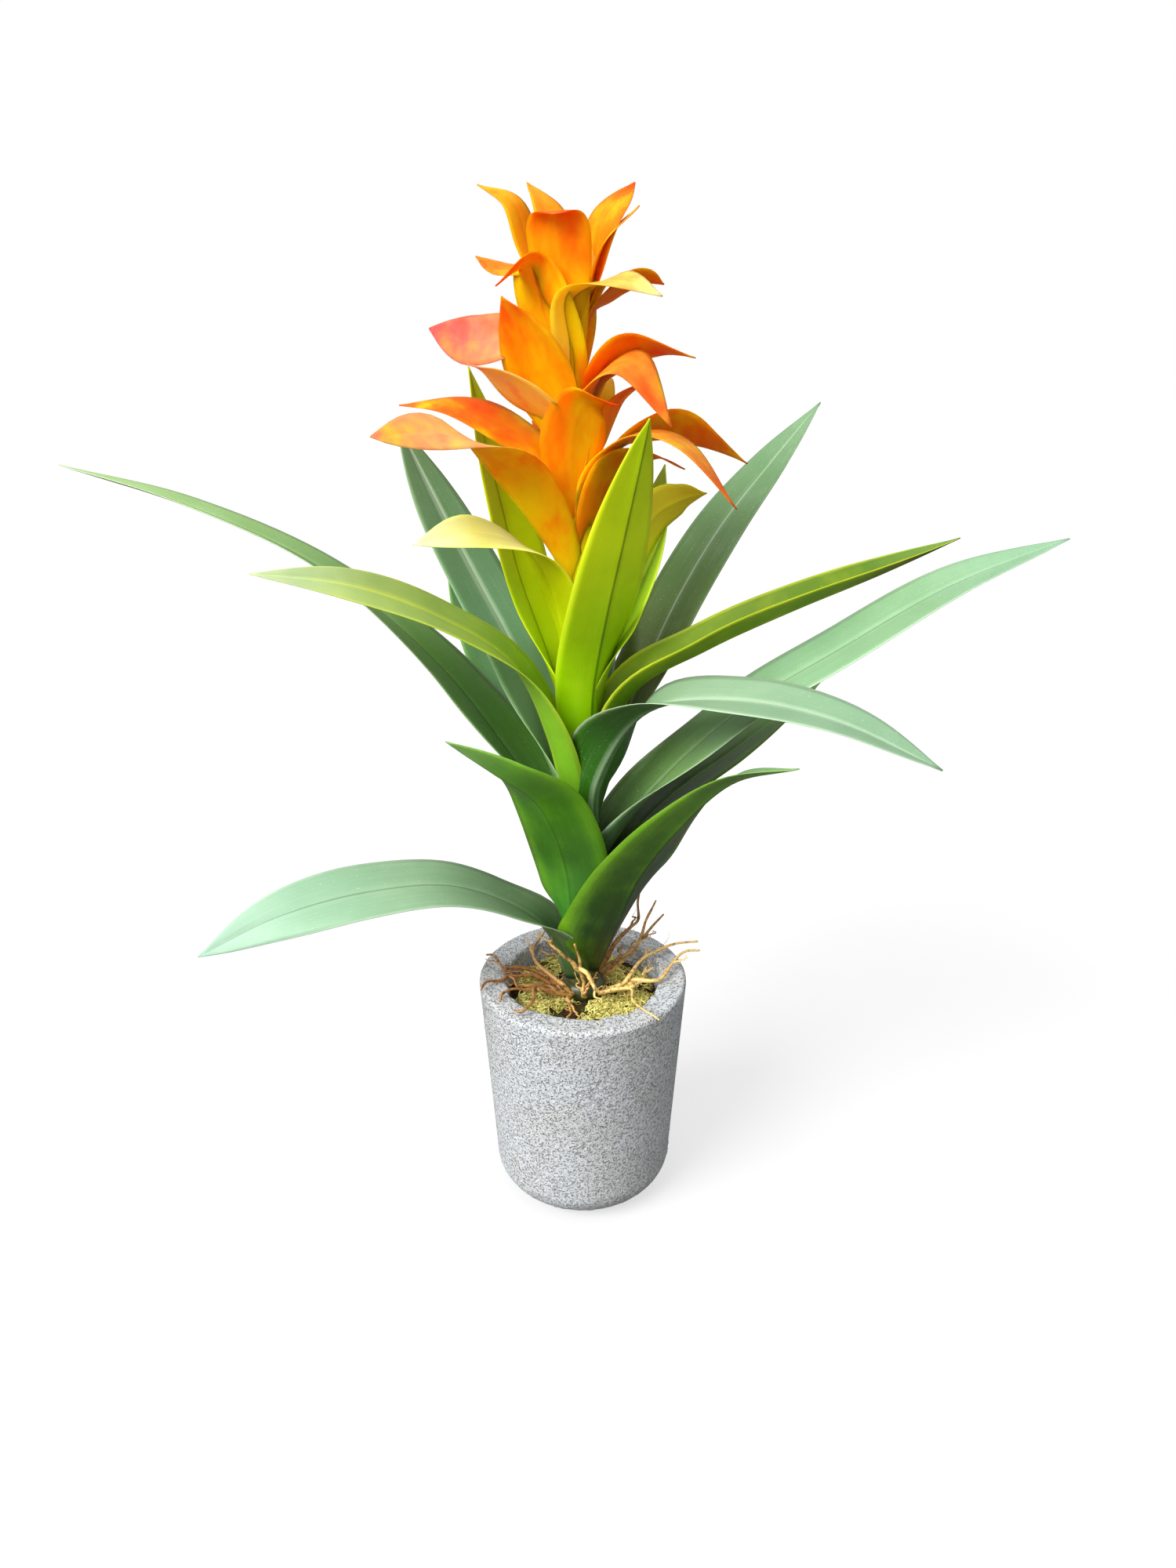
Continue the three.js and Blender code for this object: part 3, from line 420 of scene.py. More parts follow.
# Aerial roots: routes of points from the collar outward, over the moss and the rim.
# golden is each root's share of the pale golden colour.
ROOTS = [
    dict(
        golden=0.0,
        route=[
            [-12, -4, 131], [-19, 1, 135], [-27, 6, 139], [-37, 6, 141],
            [-45, 3, 142], [-52, 11, 144], [-56, 17, 143],
        ],
    ),
    dict(
        golden=0.0,
        route=[
            [-9, -8, 131], [-17, -7, 134], [-26, -8, 136],
            [-37, -9, 139], [-43, -6, 142], [-46, 2, 143],
        ],
    ),
    dict(
        golden=0.0,
        route=[
            [-12, 0, 132], [-24, -1, 137], [-36, -3, 140],
            [-43, -8, 142], [-52, -13, 143], [-57, -21, 143],
        ],
    ),
    dict(
        golden=0.1,
        route=[
            [-7, -9, 131], [-17, -11, 134], [-24, -12, 137],
            [-34, -17, 140], [-43, -24, 143], [-47, -32, 143],
        ],
    ),
    dict(
        golden=0.2,
        route=[
            [-9, -8, 132], [-20, -9, 135], [-27, -11, 138], [-29, -21, 142],
            [-29, -34, 144], [-33, -44, 144], [-38, -40, 142],
        ],
    ),
    dict(
        golden=0.3,
        route=[
            [-6, -10, 132], [-10, -11, 139], [-16, -7, 141], [-28, 7, 143],
            [-30, 18, 144], [-28, 29, 145], [-22, 39, 146],
        ],
    ),
    dict(
        golden=0.4,
        route=[
            [1, -10, 131], [1, -17, 136], [0, -16, 143],
            [-2, -16, 152], [-3, -17, 162], [-5, -20, 173],
        ],
    ),
    dict(golden=0.5, route=[[-2, -16, 152], [-9, -17, 160], [-14, -17, 167], [-19, -17, 173]]),
    dict(
        golden=1.0,
        route=[
            [-2, -16, 154], [3, -18, 151], [6, -20, 146], [11, -17, 140],
            [19, -17, 140], [27, -18, 141], [30, -33, 142], [41, -52, 143],
        ],
    ),
    dict(
        golden=0.8,
        route=[
            [10, -6, 132], [21, -9, 138], [27, -8, 142], [37, 9, 146],
            [46, 17, 147], [55, 21, 149], [68, 21, 150],
        ],
    ),
    dict(
        golden=0.8,
        route=[
            [9, -8, 132], [24, -12, 138], [31, -8, 141], [42, -10, 143],
            [49, -6, 144], [58, 12, 146], [68, 11, 149],
        ],
    ),
    dict(golden=0.9, route=[[24, -12, 138], [31, -12, 141], [36, -4, 143], [40, 0, 144]]),
    dict(golden=0.4, route=[[10, 8, 134], [26, 12, 145], [33, 17, 150], [39, 29, 160], [45, 38, 166]]),
    dict(golden=0.3, route=[[8, 9, 134], [24, 10, 146], [34, 18, 152], [50, 34, 160]]),
    dict(golden=0.2, route=[[11, 4, 133], [20, 7, 144], [22, 10, 152]]),
    dict(golden=0.1, route=[[9, 9, 135], [17, 13, 150], [25, 14, 160], [32, 20, 167], [36, 39, 176]]),
    dict(golden=0.3, route=[[-5, -10, 133], [-8, -17, 136], [-7, -23, 134], [-8, -34, 133]]),
    dict(golden=0.2, route=[[-2, 10, 133], [-4, 30, 139], [6, 48, 144]]),
    dict(golden=0.3, route=[[-6, 8, 133], [-13, 21, 138], [-20, 34, 140]]),
]

# The photograph's camera, in millimetres and degrees.
CAMERA_PLACE = (3, -605.5, 526.3)
CAMERA_PITCH_DOWN = 23.7
CAMERA_LENS = 28
CAMERA_SENSOR = 36

# The floor lies this far under the pot's foot, in metres.
FLOOR_GAP = 0.0002

# How far light goes under the skin of a blade, in metres, and the shares of that distance
# for red, green and blue.
LIGHT_DEPTH = 0.004
LIGHT_SPREAD = (1.0, 0.6, 0.2)

# Noise scales of the materials, in waves to a metre.
CONCRETE_NOISE = {"grain": 1250.0, "pores": 760.0, "patches": 26.0}
BED_NOISE = {"fine": 520.0, "broad": 60.0}
ROOT_NOISE = {"fibre": 420.0, "broad": 90.0}
BLADE_NOISE = {"dust": 900.0, "gloss": 120.0, "relief": 700.0}

# Colours that the materials' patterns add, on a scale of 0 to 255.
CONCRETE_TINTS = {
    "patch": (186, 180, 170), "pale": (236, 236, 234), "dark": (128, 130, 131), "pore": (96, 94, 92),
}
SOIL_CRUMB = (104, 74, 46)
BED_TINTS = {"brown": (84, 58, 32), "olive": (52, 44, 18), "green": (92, 84, 36)}
CURL_TINTS = {"olive": (160, 150, 58), "stain": (110, 76, 34)}
# pale is the colour of the painted highlights on the roots.
ROOT_TINTS = {"pale": (226, 170, 92), "dip": (62, 34, 12)}
COLLAR_TINTS = ((40, 52, 22), (70, 74, 34))
STEM_TINTS = {"green": (64, 78, 30), "brown": (92, 84, 40), "fibre": (52, 44, 22)}
THROAT_TINT = (255, 215, 10)

# Steps of the moss bed in and round, of a strand along and round, and of a root.
BED_LATTICE = (44, 180)
CURL_LATTICE = (14, 4)
ROOT_LATTICE = (40, 8)

# Finishes of the blades. Veins, mottling, midrib and margin mix the tint to the pale colour
# or to the dark one. margin is where the rim's colour starts, from the midrib at 0 to the
# edge at 1. grain and wash scale the veins and the mottling, and patch is the number of its
# patches to a metre along X, Y and Z. gloss is the mean roughness, shine the specular level
# and light_through the share of light that spreads under the skin.
LEAF_FINISH = {
    "pale": (226, 240, 216), "dark": (40, 64, 24), "margin": 0.9, "grain": 1.0, "wash": 1.0,
    "patch": (38, 38, 38), "gloss": 0.42, "shine": 0.3, "light_through": 0.1,
}
DARK_LEAF_FINISH = {
    **LEAF_FINISH, "pale": (130, 190, 30), "margin": 0.5, "wash": 3.0,
    "gloss": 0.38, "shine": 0.35, "light_through": 0.15,
}
LIME_LEAF_FINISH = {
    **LEAF_FINISH, "pale": (240, 246, 60), "dark": (60, 96, 0), "margin": 0.85, "grain": 0.5,
    "wash": 2.0, "gloss": 0.45, "shine": 0.15, "light_through": 0.35,
}
BRACT_FINISH = {
    "pale": (255, 205, 10), "dark": (255, 110, 10), "margin": 0.9, "grain": 0.0, "wash": 10.0,
    "patch": (60, 60, 28), "gloss": 0.5, "shine": 0.08, "light_through": 0.7,
}

# How much of the pale and of the dark colour a blade takes at most, and how far its
# roughness spreads.
PALE_SHARE = 0.62
DARK_SHARE = 0.8
GLOSS_SPREAD = 0.22

# Moss grows in clumps of this size, where a random field passes a bar drawn between these
# two. Rootlets start at one of these stations of a root, and are this long.
CLUMP_SIZE = 13
CLUMP_BARS = (-0.25, 0.4)
ROOTLET_STATIONS = (8, 30)
ROOTLET_LENGTHS = (7, 16)

SEED = 7
TRANSITION_SEED = 40
BRACT_SEED = 60


def paint(colour):
    """Linear colour of one on a screen's scale of 0 to 255: the screen's own curve undone."""
    screen = np.asarray(colour, float) / 255
    return np.where(screen <= 0.04045, screen / 12.92, ((screen + 0.055) / 1.055) ** 2.4)


def rgba(colour):
    """Linear colour with full opacity, for a node's socket."""
    return (*[float(channel) for channel in paint(colour)], 1.0)


def smooth(value, low, high):
    """Smooth step: 0 below low, 1 above high, and 3x2 - 2x3 of the share x between."""
    share = np.clip((value - low) / (high - low), 0, 1)
    return share * share * (3 - 2 * share)


def along(values, share):
    """Uniform Catmull-Rom curve through evenly spaced values, read at shares from 0 to 1.
    Beyond each end it continues by the mirror of its first or last step."""
    values = np.asarray(values, float)
    last = len(values) - 1
    padded = np.concatenate(
        [[2 * values[0] - values[1]], values, [2 * values[last] - values[last - 1]]]
    )
    place = np.clip(share, 0, 1) * last
    cell = np.minimum(place.astype(int), last - 1)
    f = place - cell
    if values.ndim > 1:
        f = f[..., None]
    a, b, c, d = padded[cell], padded[cell + 1], padded[cell + 2], padded[cell + 3]
    square = (2 * a - 5 * b + 4 * c - d) * f**2
    cube = (3 * b - a - 3 * c + d) * f**3
    return 0.5 * (2 * b + (c - a) * f + square + cube)


def blended(colours, share):
    """Evenly spaced colours read at shares from 0 to 1, straight between neighbours."""
    stops = np.linspace(0, 1, len(colours))
    linear = paint(colours)
    return np.stack([np.interp(share, stops, linear[:, k]) for k in range(3)], axis=-1)


def unit(vectors):
    """Vectors of length one along the last axis."""
    return vectors / np.linalg.norm(vectors, axis=-1, keepdims=True)


def speckle(points, size, seed):
    """Smooth random field from -1 to 1: a random value at each corner of a lattice of
    cubes of that size, blended between the corners by the smooth step."""
    place = np.asarray(points, float) / size
    corner = np.floor(place).astype(np.int64)
    share = place - corner
    share = share * share * (3 - 2 * share)
    total = np.zeros(place.shape[:-1])
    primes = np.array([73856093, 19349663, 83492791])
    for steps in np.ndindex(2, 2, 2):
        step = np.array(steps)
        weight = np.prod(np.where(step == 1, share, 1 - share), axis=-1)
        key = ((corner + step) * primes).sum(axis=-1) + seed * 2654435761
        key = (key ^ (key >> 15)) * 2246822519 & 0xFFFFFFFF
        key = (key ^ (key >> 13)) * 3266489917 & 0xFFFFFFFF
        value = ((key ^ (key >> 16)) & 0xFFFF) / 32767.5 - 1
        total += weight * value
    return total


def lean(height):
    """Sideways place of the head's core: minus the reach times the 1.5th power of the share
    of the way up the leaning stretch."""
    share = np.clip((height - LEAN_START) / LEAN_HEIGHT, 0, 1.1)
    return -LEAN_REACH * share**1.5


def stem_radius(height):
    """Straight taper from the collar to the stem's top."""
    share = np.clip((height - COLLAR_TOP) / (STEM_TOP - COLLAR_TOP), 0, 1)
    return STEM_BASE_RADIUS + (STEM_TOP_RADIUS - STEM_BASE_RADIUS) * share


def width_share(t, shape):
    """Half-width as a share of the widest: a sine's quarter up to the peak, and one minus a
    power of the remaining share beyond it."""
    rise = np.sin(np.clip(t / shape["peak"], 0, 1) * math.pi / 2) ** BASE_EASE
    fall = np.clip((t - shape["peak"]) / (1 - shape["peak"]), 0, 1) ** shape["tip"]
    return np.where(t < shape["peak"], shape["base"] + (1 - shape["base"]) * rise, 1 - fall)


def blade(row, kind_shape, root_reach, root_x, skin, lattice, wave, groove, seed):
    """One closed blade as a part. Its midrib is the path in the upright plane of its
    azimuth. The section leaves the midrib at the fold's angle and bends round by the wrap:
    across it runs (sin(fold + wrap u) - sin fold) / wrap and up (cos fold - cos(fold +
    wrap u)) / wrap, times the half-width. Both skins lie half a thickness off that sheet,
    thinner to the margins, with a groove over the midrib and a keel under it. The margins
    wave by a slow random field."""
    shape = {**kind_shape, **row.get("shape", {})}
    stations, columns = lattice
    t = np.linspace(0, 1, stations + 1)
    spread = np.linspace(-1, 1, columns + 1)
    u = (1 - CROWDING) * spread + CROWDING * spread**3
    angle = math.radians(row["azimuth"])
    out = np.array([math.cos(angle), math.sin(angle), 0])
    across = np.array([-math.sin(angle), math.cos(angle), 0])
    path = np.array([[root_reach, row["root"]], *row["path"]], float)

    def midrib(share):
        place = along(path[:, 0], share)[:, None] * out
        place = place + along(row.get("sway", [0, 0]), share)[:, None] * across
        return place + along(path[:, 1], share)[:, None] * [0, 0, 1] + [root_x, 0, 0]

    centre = midrib(t)
    tangent = unit(midrib(np.clip(t + 0.01, 0, 1)) - midrib(np.clip(t - 0.01, 0, 1)))
    flat = unit(across - (tangent @ across)[:, None] * tangent)
    up = np.cross(tangent, flat)
    turn = np.radians(along(row.get("roll", [0, 0]), t))[:, None]
    side = (flat * np.cos(turn) + up * np.sin(turn))[:, None]
    lift = (up * np.cos(turn) - flat * np.sin(turn))[:, None]
    half = np.maximum(row["width"] / 2 * width_share(t, shape), LEAST_HALF_WIDTH)[:, None]
    fold = np.radians(along(row.get("fold", [0, 0]), t))[:, None]
    wrap = shape["wrap"] * (1 - smooth(t, 0, shape["wrap_end"]))
    wrap = np.radians(np.maximum(wrap, 0.1))[:, None]
    bend = fold + wrap * np.abs(u)
    sideways = np.sign(u) * half * (np.sin(bend) - np.sin(fold)) / wrap
    upward = half * (np.cos(fold) - np.cos(bend)) / wrap
    field = np.stack([t * 5, np.full_like(t, seed), np.zeros_like(t)], axis=-1)
    free = smooth(t, 0.15, 0.45) * (1 - smooth(t, 0.85, 1))
    ripple = np.where(u < 0, speckle(field, 1, 1)[:, None], speckle(field, 1, 2)[:, None])
    upward = upward + wave * free[:, None] * ripple * np.abs(u) ** 2.5
    sheet = centre[:, None] + side * sideways[..., None] + lift * upward[..., None]
    facing = np.where(u == 0, 0, np.broadcast_to(bend, sideways.shape))[..., None]
    normal = lift * np.cos(facing) - side * np.sign(u)[:, None] * np.sin(facing)
    thick = (skin[0] + (skin[1] - skin[0]) * t)[:, None] * (1 - MARGIN_THINNING * np.abs(u) ** 4) / 2
    channel = groove * np.exp(-((half * u / GROOVE_REACH) ** 2)) * (1 - smooth(t, 0.9, 1))[:, None]
    top = sheet + normal * (thick - channel)[..., None]
    bottom = sheet - normal * (thick + KEEL_SHARE * channel)[..., None]
    points = np.concatenate([top, bottom[:, ::-1]], axis=1)
    ring = np.concatenate([u, u[::-1]])
    upper = blended(row["upper"], t)[:, None].repeat(columns + 1, 1)
    lower = blended(row["lower"], t)[:, None].repeat(columns + 1, 1)
    uv = np.stack(np.broadcast_arrays(t[:, None], (ring / 2 + 0.5)[None]), axis=-1)
    count = 2 * (columns + 1)
    quads = grid_faces(stations + 1, count, True)
    ends = []
    for start, flipped in ((0, False), (stations * count, True)):
        j = np.arange(columns)
        cap = np.stack([j, j + 1, count - 2 - j, count - 1 - j], axis=-1) + start
        ends.append(cap if flipped else cap[:, ::-1])
    return outward(
        {
            "points": points.reshape(-1, 3),
            "quads": np.concatenate([quads, *ends]),
            "uv": uv.reshape(-1, 2),
            "tint": np.concatenate([upper, lower], axis=1).reshape(-1, 3),
            "marks": np.tile(np.array(row["marks"], float), (points.shape[0] * count, 1)),
        }
    )


def grid_faces(rows, columns, closed):
    """Quads of a grid of points, row by row, whose columns meet again where it is closed."""
    last = columns if closed else columns - 1
    i, j = np.meshgrid(np.arange(rows - 1), np.arange(last), indexing="ij")
    k = (j + 1) % columns
    near, far = i * columns, (i + 1) * columns
    return np.stack([near + j, near + k, far + k, far + j], axis=-1).reshape(-1, 4)


def outward(part):
    """The part with its faces turned outward: a sixth of the triple products of a closed
    shell's triangles is its volume, so a negative sum means that they look inward."""
    points = part["points"]
    volume = 0.0
    for faces in (part.get("quads"), part.get("triangles")):
        if faces is None or not len(faces):
            continue
        corner = points[faces]
        for k in range(1, faces.shape[1] - 1):
            volume += np.einsum("ij,ij->i", corner[:, 0], np.cross(corner[:, k], corner[:, k + 1])).sum()
    if volume < 0:
        for kind in ("quads", "triangles"):
            if part.get(kind) is not None:
                part[kind] = part[kind][:, ::-1]
    return part


def tubes(paths, radii, sides, values):
    """Closed round tubes as one part. Each path's points carry rings of that radius, at
    right angles to the path, and a point just beyond each end closes it. values become
    one number per tube, kept as the attribute share."""
    count, stations = radii.shape
    tangent = unit(np.gradient(paths, axis=1))
    first = unit(np.cross(tangent, [0.13, 0.29, 0.95]))
    second = np.cross(tangent, first)
    turn = 2 * math.pi * np.arange(sides) / sides
    ring = first[:, :, None] * np.cos(turn)[:, None] + second[:, :, None] * np.sin(turn)[:, None]
    rings = paths[:, :, None] + radii[:, :, None, None] * ring
    start = paths[:, 0] - tangent[:, 0] * radii[:, 0, None] * 0.6
    end = paths[:, -1] + tangent[:, -1] * radii[:, -1, None] * 0.6
    own = stations * sides + 2
    points = np.concatenate([rings.reshape(count, -1, 3), start[:, None], end[:, None]], axis=1)
    quads = grid_faces(stations, sides, True)
    k = np.arange(sides)
    k_next = (k + 1) % sides
    head = np.stack([k_next, k, np.full(sides, own - 2)], axis=-1)
    last = (stations - 1) * sides
    tail = np.stack([last + k, last + k_next, np.full(sides, own - 1)], axis=-1)
    shift = (np.arange(count) * own)[:, None, None]
    return outward(
        {
            "points": points.reshape(-1, 3),
            "quads": (quads[None] + shift).reshape(-1, 4),
            "triangles": (np.concatenate([head, tail])[None] + shift).reshape(-1, 3),
            "share": np.repeat(values, own),
        }
    )


def turned(profile, segments):
    """Closed solid of revolution as a part: the profile's [radius, height] pairs, which
    start and end on the axis, are carried round it, with one point at each end."""
    profile = np.asarray(profile, float)
    angle = 2 * math.pi * np.arange(segments) / segments
    inner = profile[1:-1]
    circle = np.stack([np.cos(angle), np.sin(angle)], axis=-1)
    rings = np.concatenate(
        [
            inner[:, None, :1] * circle[None],
            np.broadcast_to(inner[:, None, 1:], (len(inner), segments, 1)),
        ],
        axis=-1,
    )
    ends = np.array([[0, 0, profile[0, 1]], [0, 0, profile[-1, 1]]])
    points = np.concatenate([rings.reshape(-1, 3), ends])
    quads = grid_faces(len(inner), segments, True)
    k = np.arange(segments)
    k_next = (k + 1) % segments
    last = (len(inner) - 1) * segments
    low = np.stack([k_next, k, np.full(segments, len(points) - 2)], axis=-1)
    high = np.stack([last + k, last + k_next, np.full(segments, len(points) - 1)], axis=-1)
    return {"points": points, "quads": quads, "triangles": np.concatenate([low, high])}


def joined(parts):
    """Several parts as one, with the faces' numbers moved on by the points before them."""
    shift = np.cumsum([0, *[len(part["points"]) for part in parts]])
    whole = {}
    for key in parts[0]:
        moved = [
            part[key] + shift[i] if key in ("quads", "triangles") else part[key]
            for i, part in enumerate(parts)
        ]
        whole[key] = np.concatenate(moved)
    return whole


def make_object(name, part, material, replaced=()):
    """A mesh object from a part, in the frame's metres, riding on the one body. It carries
    the part's UV map and attributes, and stands for the frame's nodes that it replaces."""
    mesh = bpy.data.meshes.new(name)
    faces = part["quads"].tolist()
    if part.get("triangles") is not None:
        faces += part["triangles"].tolist()
    mesh.from_pydata((part["points"] * MM).tolist(), [], faces)
    mesh.polygons.foreach_set("use_smooth", np.ones(len(mesh.polygons), bool))
    if "uv" in part:
        corners = np.empty(len(mesh.loops), np.int32)
        mesh.loops.foreach_get("vertex_index", corners)
        layer = mesh.uv_layers.new(name="blade")
        layer.data.foreach_set("uv", part["uv"][corners].astype(np.float32).ravel())
    for key in ("tint", "marks"):
        if key in part:
            layer = mesh.attributes.new(key, "FLOAT_VECTOR", "POINT")
            layer.data.foreach_set("vector", part[key].astype(np.float32).ravel())
    if "share" in part:
        layer = mesh.attributes.new("share", "FLOAT", "POINT")
        layer.data.foreach_set("value", part["share"].astype(np.float32))
    mesh.validate()
    mesh.update()
    mesh.materials.append(material)
    piece = bpy.data.objects.new(name, mesh)
    bpy.context.scene.collection.objects.link(piece)
    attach(piece, "root")
    if replaced:
        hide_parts(*replaced)
    return piece


class Nodes:
    """Short calls that add and join a material's nodes."""

    def __init__(self, name):
        self.material = bpy.data.materials.new(name)
        self.material.use_nodes = True
        self.tree = self.material.node_tree
        self.shader = self.tree.nodes["Principled BSDF"]

    def add(self, kind, **values):
        """A new node with these values set."""
        node = self.tree.nodes.new(kind)
        for key, value in values.items():
            setattr(node, key, value)
        return node

    def link(self, source, target):
        """Joins an output to an input."""
        self.tree.links.new(source, target)

    def feed(self, socket, value):
        """Gives an input another node's output, or a plain value."""
        if isinstance(value, bpy.types.NodeSocket):
            self.link(value, socket)
        else:
            socket.default_value = value

    def math(self, operation, *values):
        """One sum on numbers or outputs."""
        node = self.add("ShaderNodeMath", operation=operation)
        for socket, value in zip(node.inputs, values):
            self.feed(socket, value)
        return node.outputs[0]

    def step(self, value, low, high, from_value=0.0, to_value=1.0):
        """Smooth step of a value, from one number to another."""
        node = self.add("ShaderNodeMapRange", interpolation_type="SMOOTHSTEP")
        for socket, item in zip(node.inputs, (value, low, high, from_value, to_value)):
            self.feed(socket, item)
        return node.outputs[0]

    def mix(self, share, first, second, blend="MIX"):
        """Two colours blended by a share."""
        node = self.add("ShaderNodeMix", data_type="RGBA", blend_type=blend, clamp_factor=True)
        self.feed(node.inputs["Factor"], share)
        self.feed(node.inputs["A"], first)
        self.feed(node.inputs["B"], second)
        return node.outputs["Result"]

    def noise(self, scale, place=None, detail=3.0, roughness=0.55):
        """A noise from 0 to 1, on Object coordinates unless another place is given."""
        node = self.add("ShaderNodeTexNoise")
        node.inputs["Scale"].default_value = scale
        node.inputs["Detail"].default_value = detail
        node.inputs["Roughness"].default_value = roughness
        self.link(place or self.place(), node.inputs["Vector"])
        return node.outputs["Fac"]

    def place(self):
        """The Object coordinates, from one node for the whole material."""
        if not hasattr(self, "object_place"):
            self.object_place = self.add("ShaderNodeTexCoord").outputs["Object"]
        return self.object_place

    def stretched(self, source, scale):
        """Coordinates scaled along each axis."""
        node = self.add("ShaderNodeMapping")
        self.link(source, node.inputs["Vector"])
        node.inputs["Scale"].default_value = scale
        return node.outputs["Vector"]

    def bump(self, height, strength, distance):
        """Relief from a height."""
        node = self.add("ShaderNodeBump")
        node.inputs["Strength"].default_value = strength
        node.inputs["Distance"].default_value = distance
        self.link(height, node.inputs["Height"])
        self.link(node.outputs["Normal"], self.shader.inputs["Normal"])

    def surface(self, colour, roughness, specular, light_through=0.0):
        """The finished material. light_through is the share of light that spreads under the
        surface, where red goes further than green and green further than blue."""
        self.link(colour, self.shader.inputs["Base Color"])
        self.feed(self.shader.inputs["Roughness"], roughness)
        self.shader.inputs["Specular IOR Level"].default_value = specular
        self.shader.inputs["Subsurface Weight"].default_value = light_through
        self.shader.inputs["Subsurface Scale"].default_value = LIGHT_DEPTH
        self.shader.inputs["Subsurface Radius"].default_value = LIGHT_SPREAD
        return self.material


def blade_material(name, settings, finish):
    """Satin blade. A signed strength is summed from the midrib's line and band, the margin,
    long fine veins, broad mottling and dust. Above zero it mixes the tint to the finish's
    pale colour, and below zero to its dark one. The veins and a fine grain also give the
    bump."""
    nodes = Nodes(name)
    uv = nodes.add("ShaderNodeUVMap", uv_map="blade").outputs["UV"]
    split = nodes.add("ShaderNodeSeparateXYZ")
    nodes.link(uv, split.inputs[0])
    away = nodes.math("ABSOLUTE", nodes.math("MULTIPLY_ADD", split.outputs["Y"], 2.0, -1.0))
    tint = nodes.add("ShaderNodeAttribute", attribute_name="tint").outputs["Color"]
    marks = nodes.add("ShaderNodeSeparateXYZ")
    nodes.link(nodes.add("ShaderNodeAttribute", attribute_name="marks").outputs["Vector"], marks.inputs[0])
    line = nodes.math("MULTIPLY", nodes.step(away, 0.01, 0.045, 1.0, 0.0), marks.outputs["X"])
    band = nodes.math("MULTIPLY", nodes.step(away, 0.05, 0.2, 1.0, 0.0), marks.outputs["Y"])
    rim = nodes.math("MULTIPLY", nodes.step(away, finish["margin"], 0.99), marks.outputs["Z"])
    veins = nodes.noise(1.0, nodes.stretched(uv, (3.0, 46.0, 1.0)), 3.0)
    vein_part = nodes.math("MULTIPLY", nodes.math("SUBTRACT", veins, 0.5), settings.veins * finish["grain"])
    patches = nodes.noise(1.0, nodes.stretched(nodes.place(), finish["patch"]))
    mottle = nodes.math("MULTIPLY", nodes.math("SUBTRACT", patches, 0.5), settings.mottle * finish["wash"])
    specks = nodes.step(nodes.noise(BLADE_NOISE["dust"], None, 1.0), 0.68, 0.78)
    dust = nodes.math("MULTIPLY", specks, settings.dust * finish["grain"])
    total = nodes.math("ADD", nodes.math("ADD", line, band), nodes.math("ADD", rim, vein_part))
    total = nodes.math("ADD", total, nodes.math("ADD", mottle, dust))
    above = nodes.math("MAXIMUM", total, 0.0)
    below = nodes.math("MULTIPLY", nodes.math("MINIMUM", total, 0.0), -1.0)
    colour = nodes.mix(above, tint, nodes.mix(PALE_SHARE, tint, rgba(finish["pale"])))
    shaded = nodes.mix(DARK_SHARE, colour, rgba(finish["dark"]), "MULTIPLY")
    colour = nodes.mix(below, colour, shaded)
    least = finish["gloss"] - GLOSS_SPREAD / 2
    rough = nodes.math("MULTIPLY_ADD", nodes.noise(BLADE_NOISE["gloss"]), GLOSS_SPREAD, least)
    fine = nodes.noise(BLADE_NOISE["relief"], None, 2.0)
    relief = nodes.math("MULTIPLY_ADD", fine, 0.35, veins)
    nodes.bump(relief, settings.relief, 0.0004)
    return nodes.surface(colour, rough, finish["shine"], finish["light_through"])


def length_setting(name, description, default):
    """A length in metres that a user may change."""
    return FloatProperty(name=name, description=description, default=default, unit="LENGTH")


def strength_setting(name, description, default):
    """A strength from zero up."""
    return FloatProperty(name=name, description=description, default=default, min=0)


def angle_setting(name, description, degrees):
    """An angle, given in degrees."""
    return FloatProperty(
        name=name, description=description, default=math.radians(degrees), subtype="ANGLE"
    )


def colour_setting(name, description, colour):
    """A colour, given on a screen's scale of 0 to 255."""
    return FloatVectorProperty(
        name=name, description=description, default=tuple(paint(colour)), subtype="COLOR"
    )


class PotSettings(PropertyGroup):
    """Sizes and colours of the pot."""

    pit_depth: length_setting("Pit depth", "Depth of the pores in the surface", 0.0004)
    chip_depth: length_setting("Chip depth", "How far the inner edge is chipped", 0.0016)
    colour: colour_setting("Colour", "Colour of the concrete", (207, 211, 214))
    segments: IntProperty(name="Segments", description="Steps round the pot", default=400, min=24)


class BedSettings(PropertyGroup):
    """Sizes and colours of the soil and the moss."""

    rise: length_setting("Moss rise", "Height of the moss bed over the soil", 0.005)
    lump: length_setting("Lumps", "Height of the lumps in the bed", 0.0016)
    curls: IntProperty(name="Curls", description="Most strands of curled moss", default=900, min=0)
    curl_length: length_setting("Curl length", "Mean length of a strand", 0.015)
    curl_radius: length_setting("Strand radius", "Thickness of a strand", 0.00045)
    moss: colour_setting("Moss", "Colour of the moss", (232, 224, 138))
    soil: colour_setting("Soil", "Colour of the soil", (58, 38, 24))


class RootSettings(PropertyGroup):
    """Sizes and colours of the aerial roots."""

    radius: length_setting("Radius", "Radius at the collar", 0.0015)
    tip_radius: length_setting("Tip radius", "Radius at the tip", 0.0006)
    wobble: length_setting("Wobble", "How far a root strays", 0.0016)
    branches: IntProperty(name="Rootlets", description="Rootlets on each root", default=3, min=0)
    brown: colour_setting("Brown", "Colour of the old roots", (150, 96, 38))
    golden: colour_setting("Golden", "Colour of the young roots", (244, 204, 122))


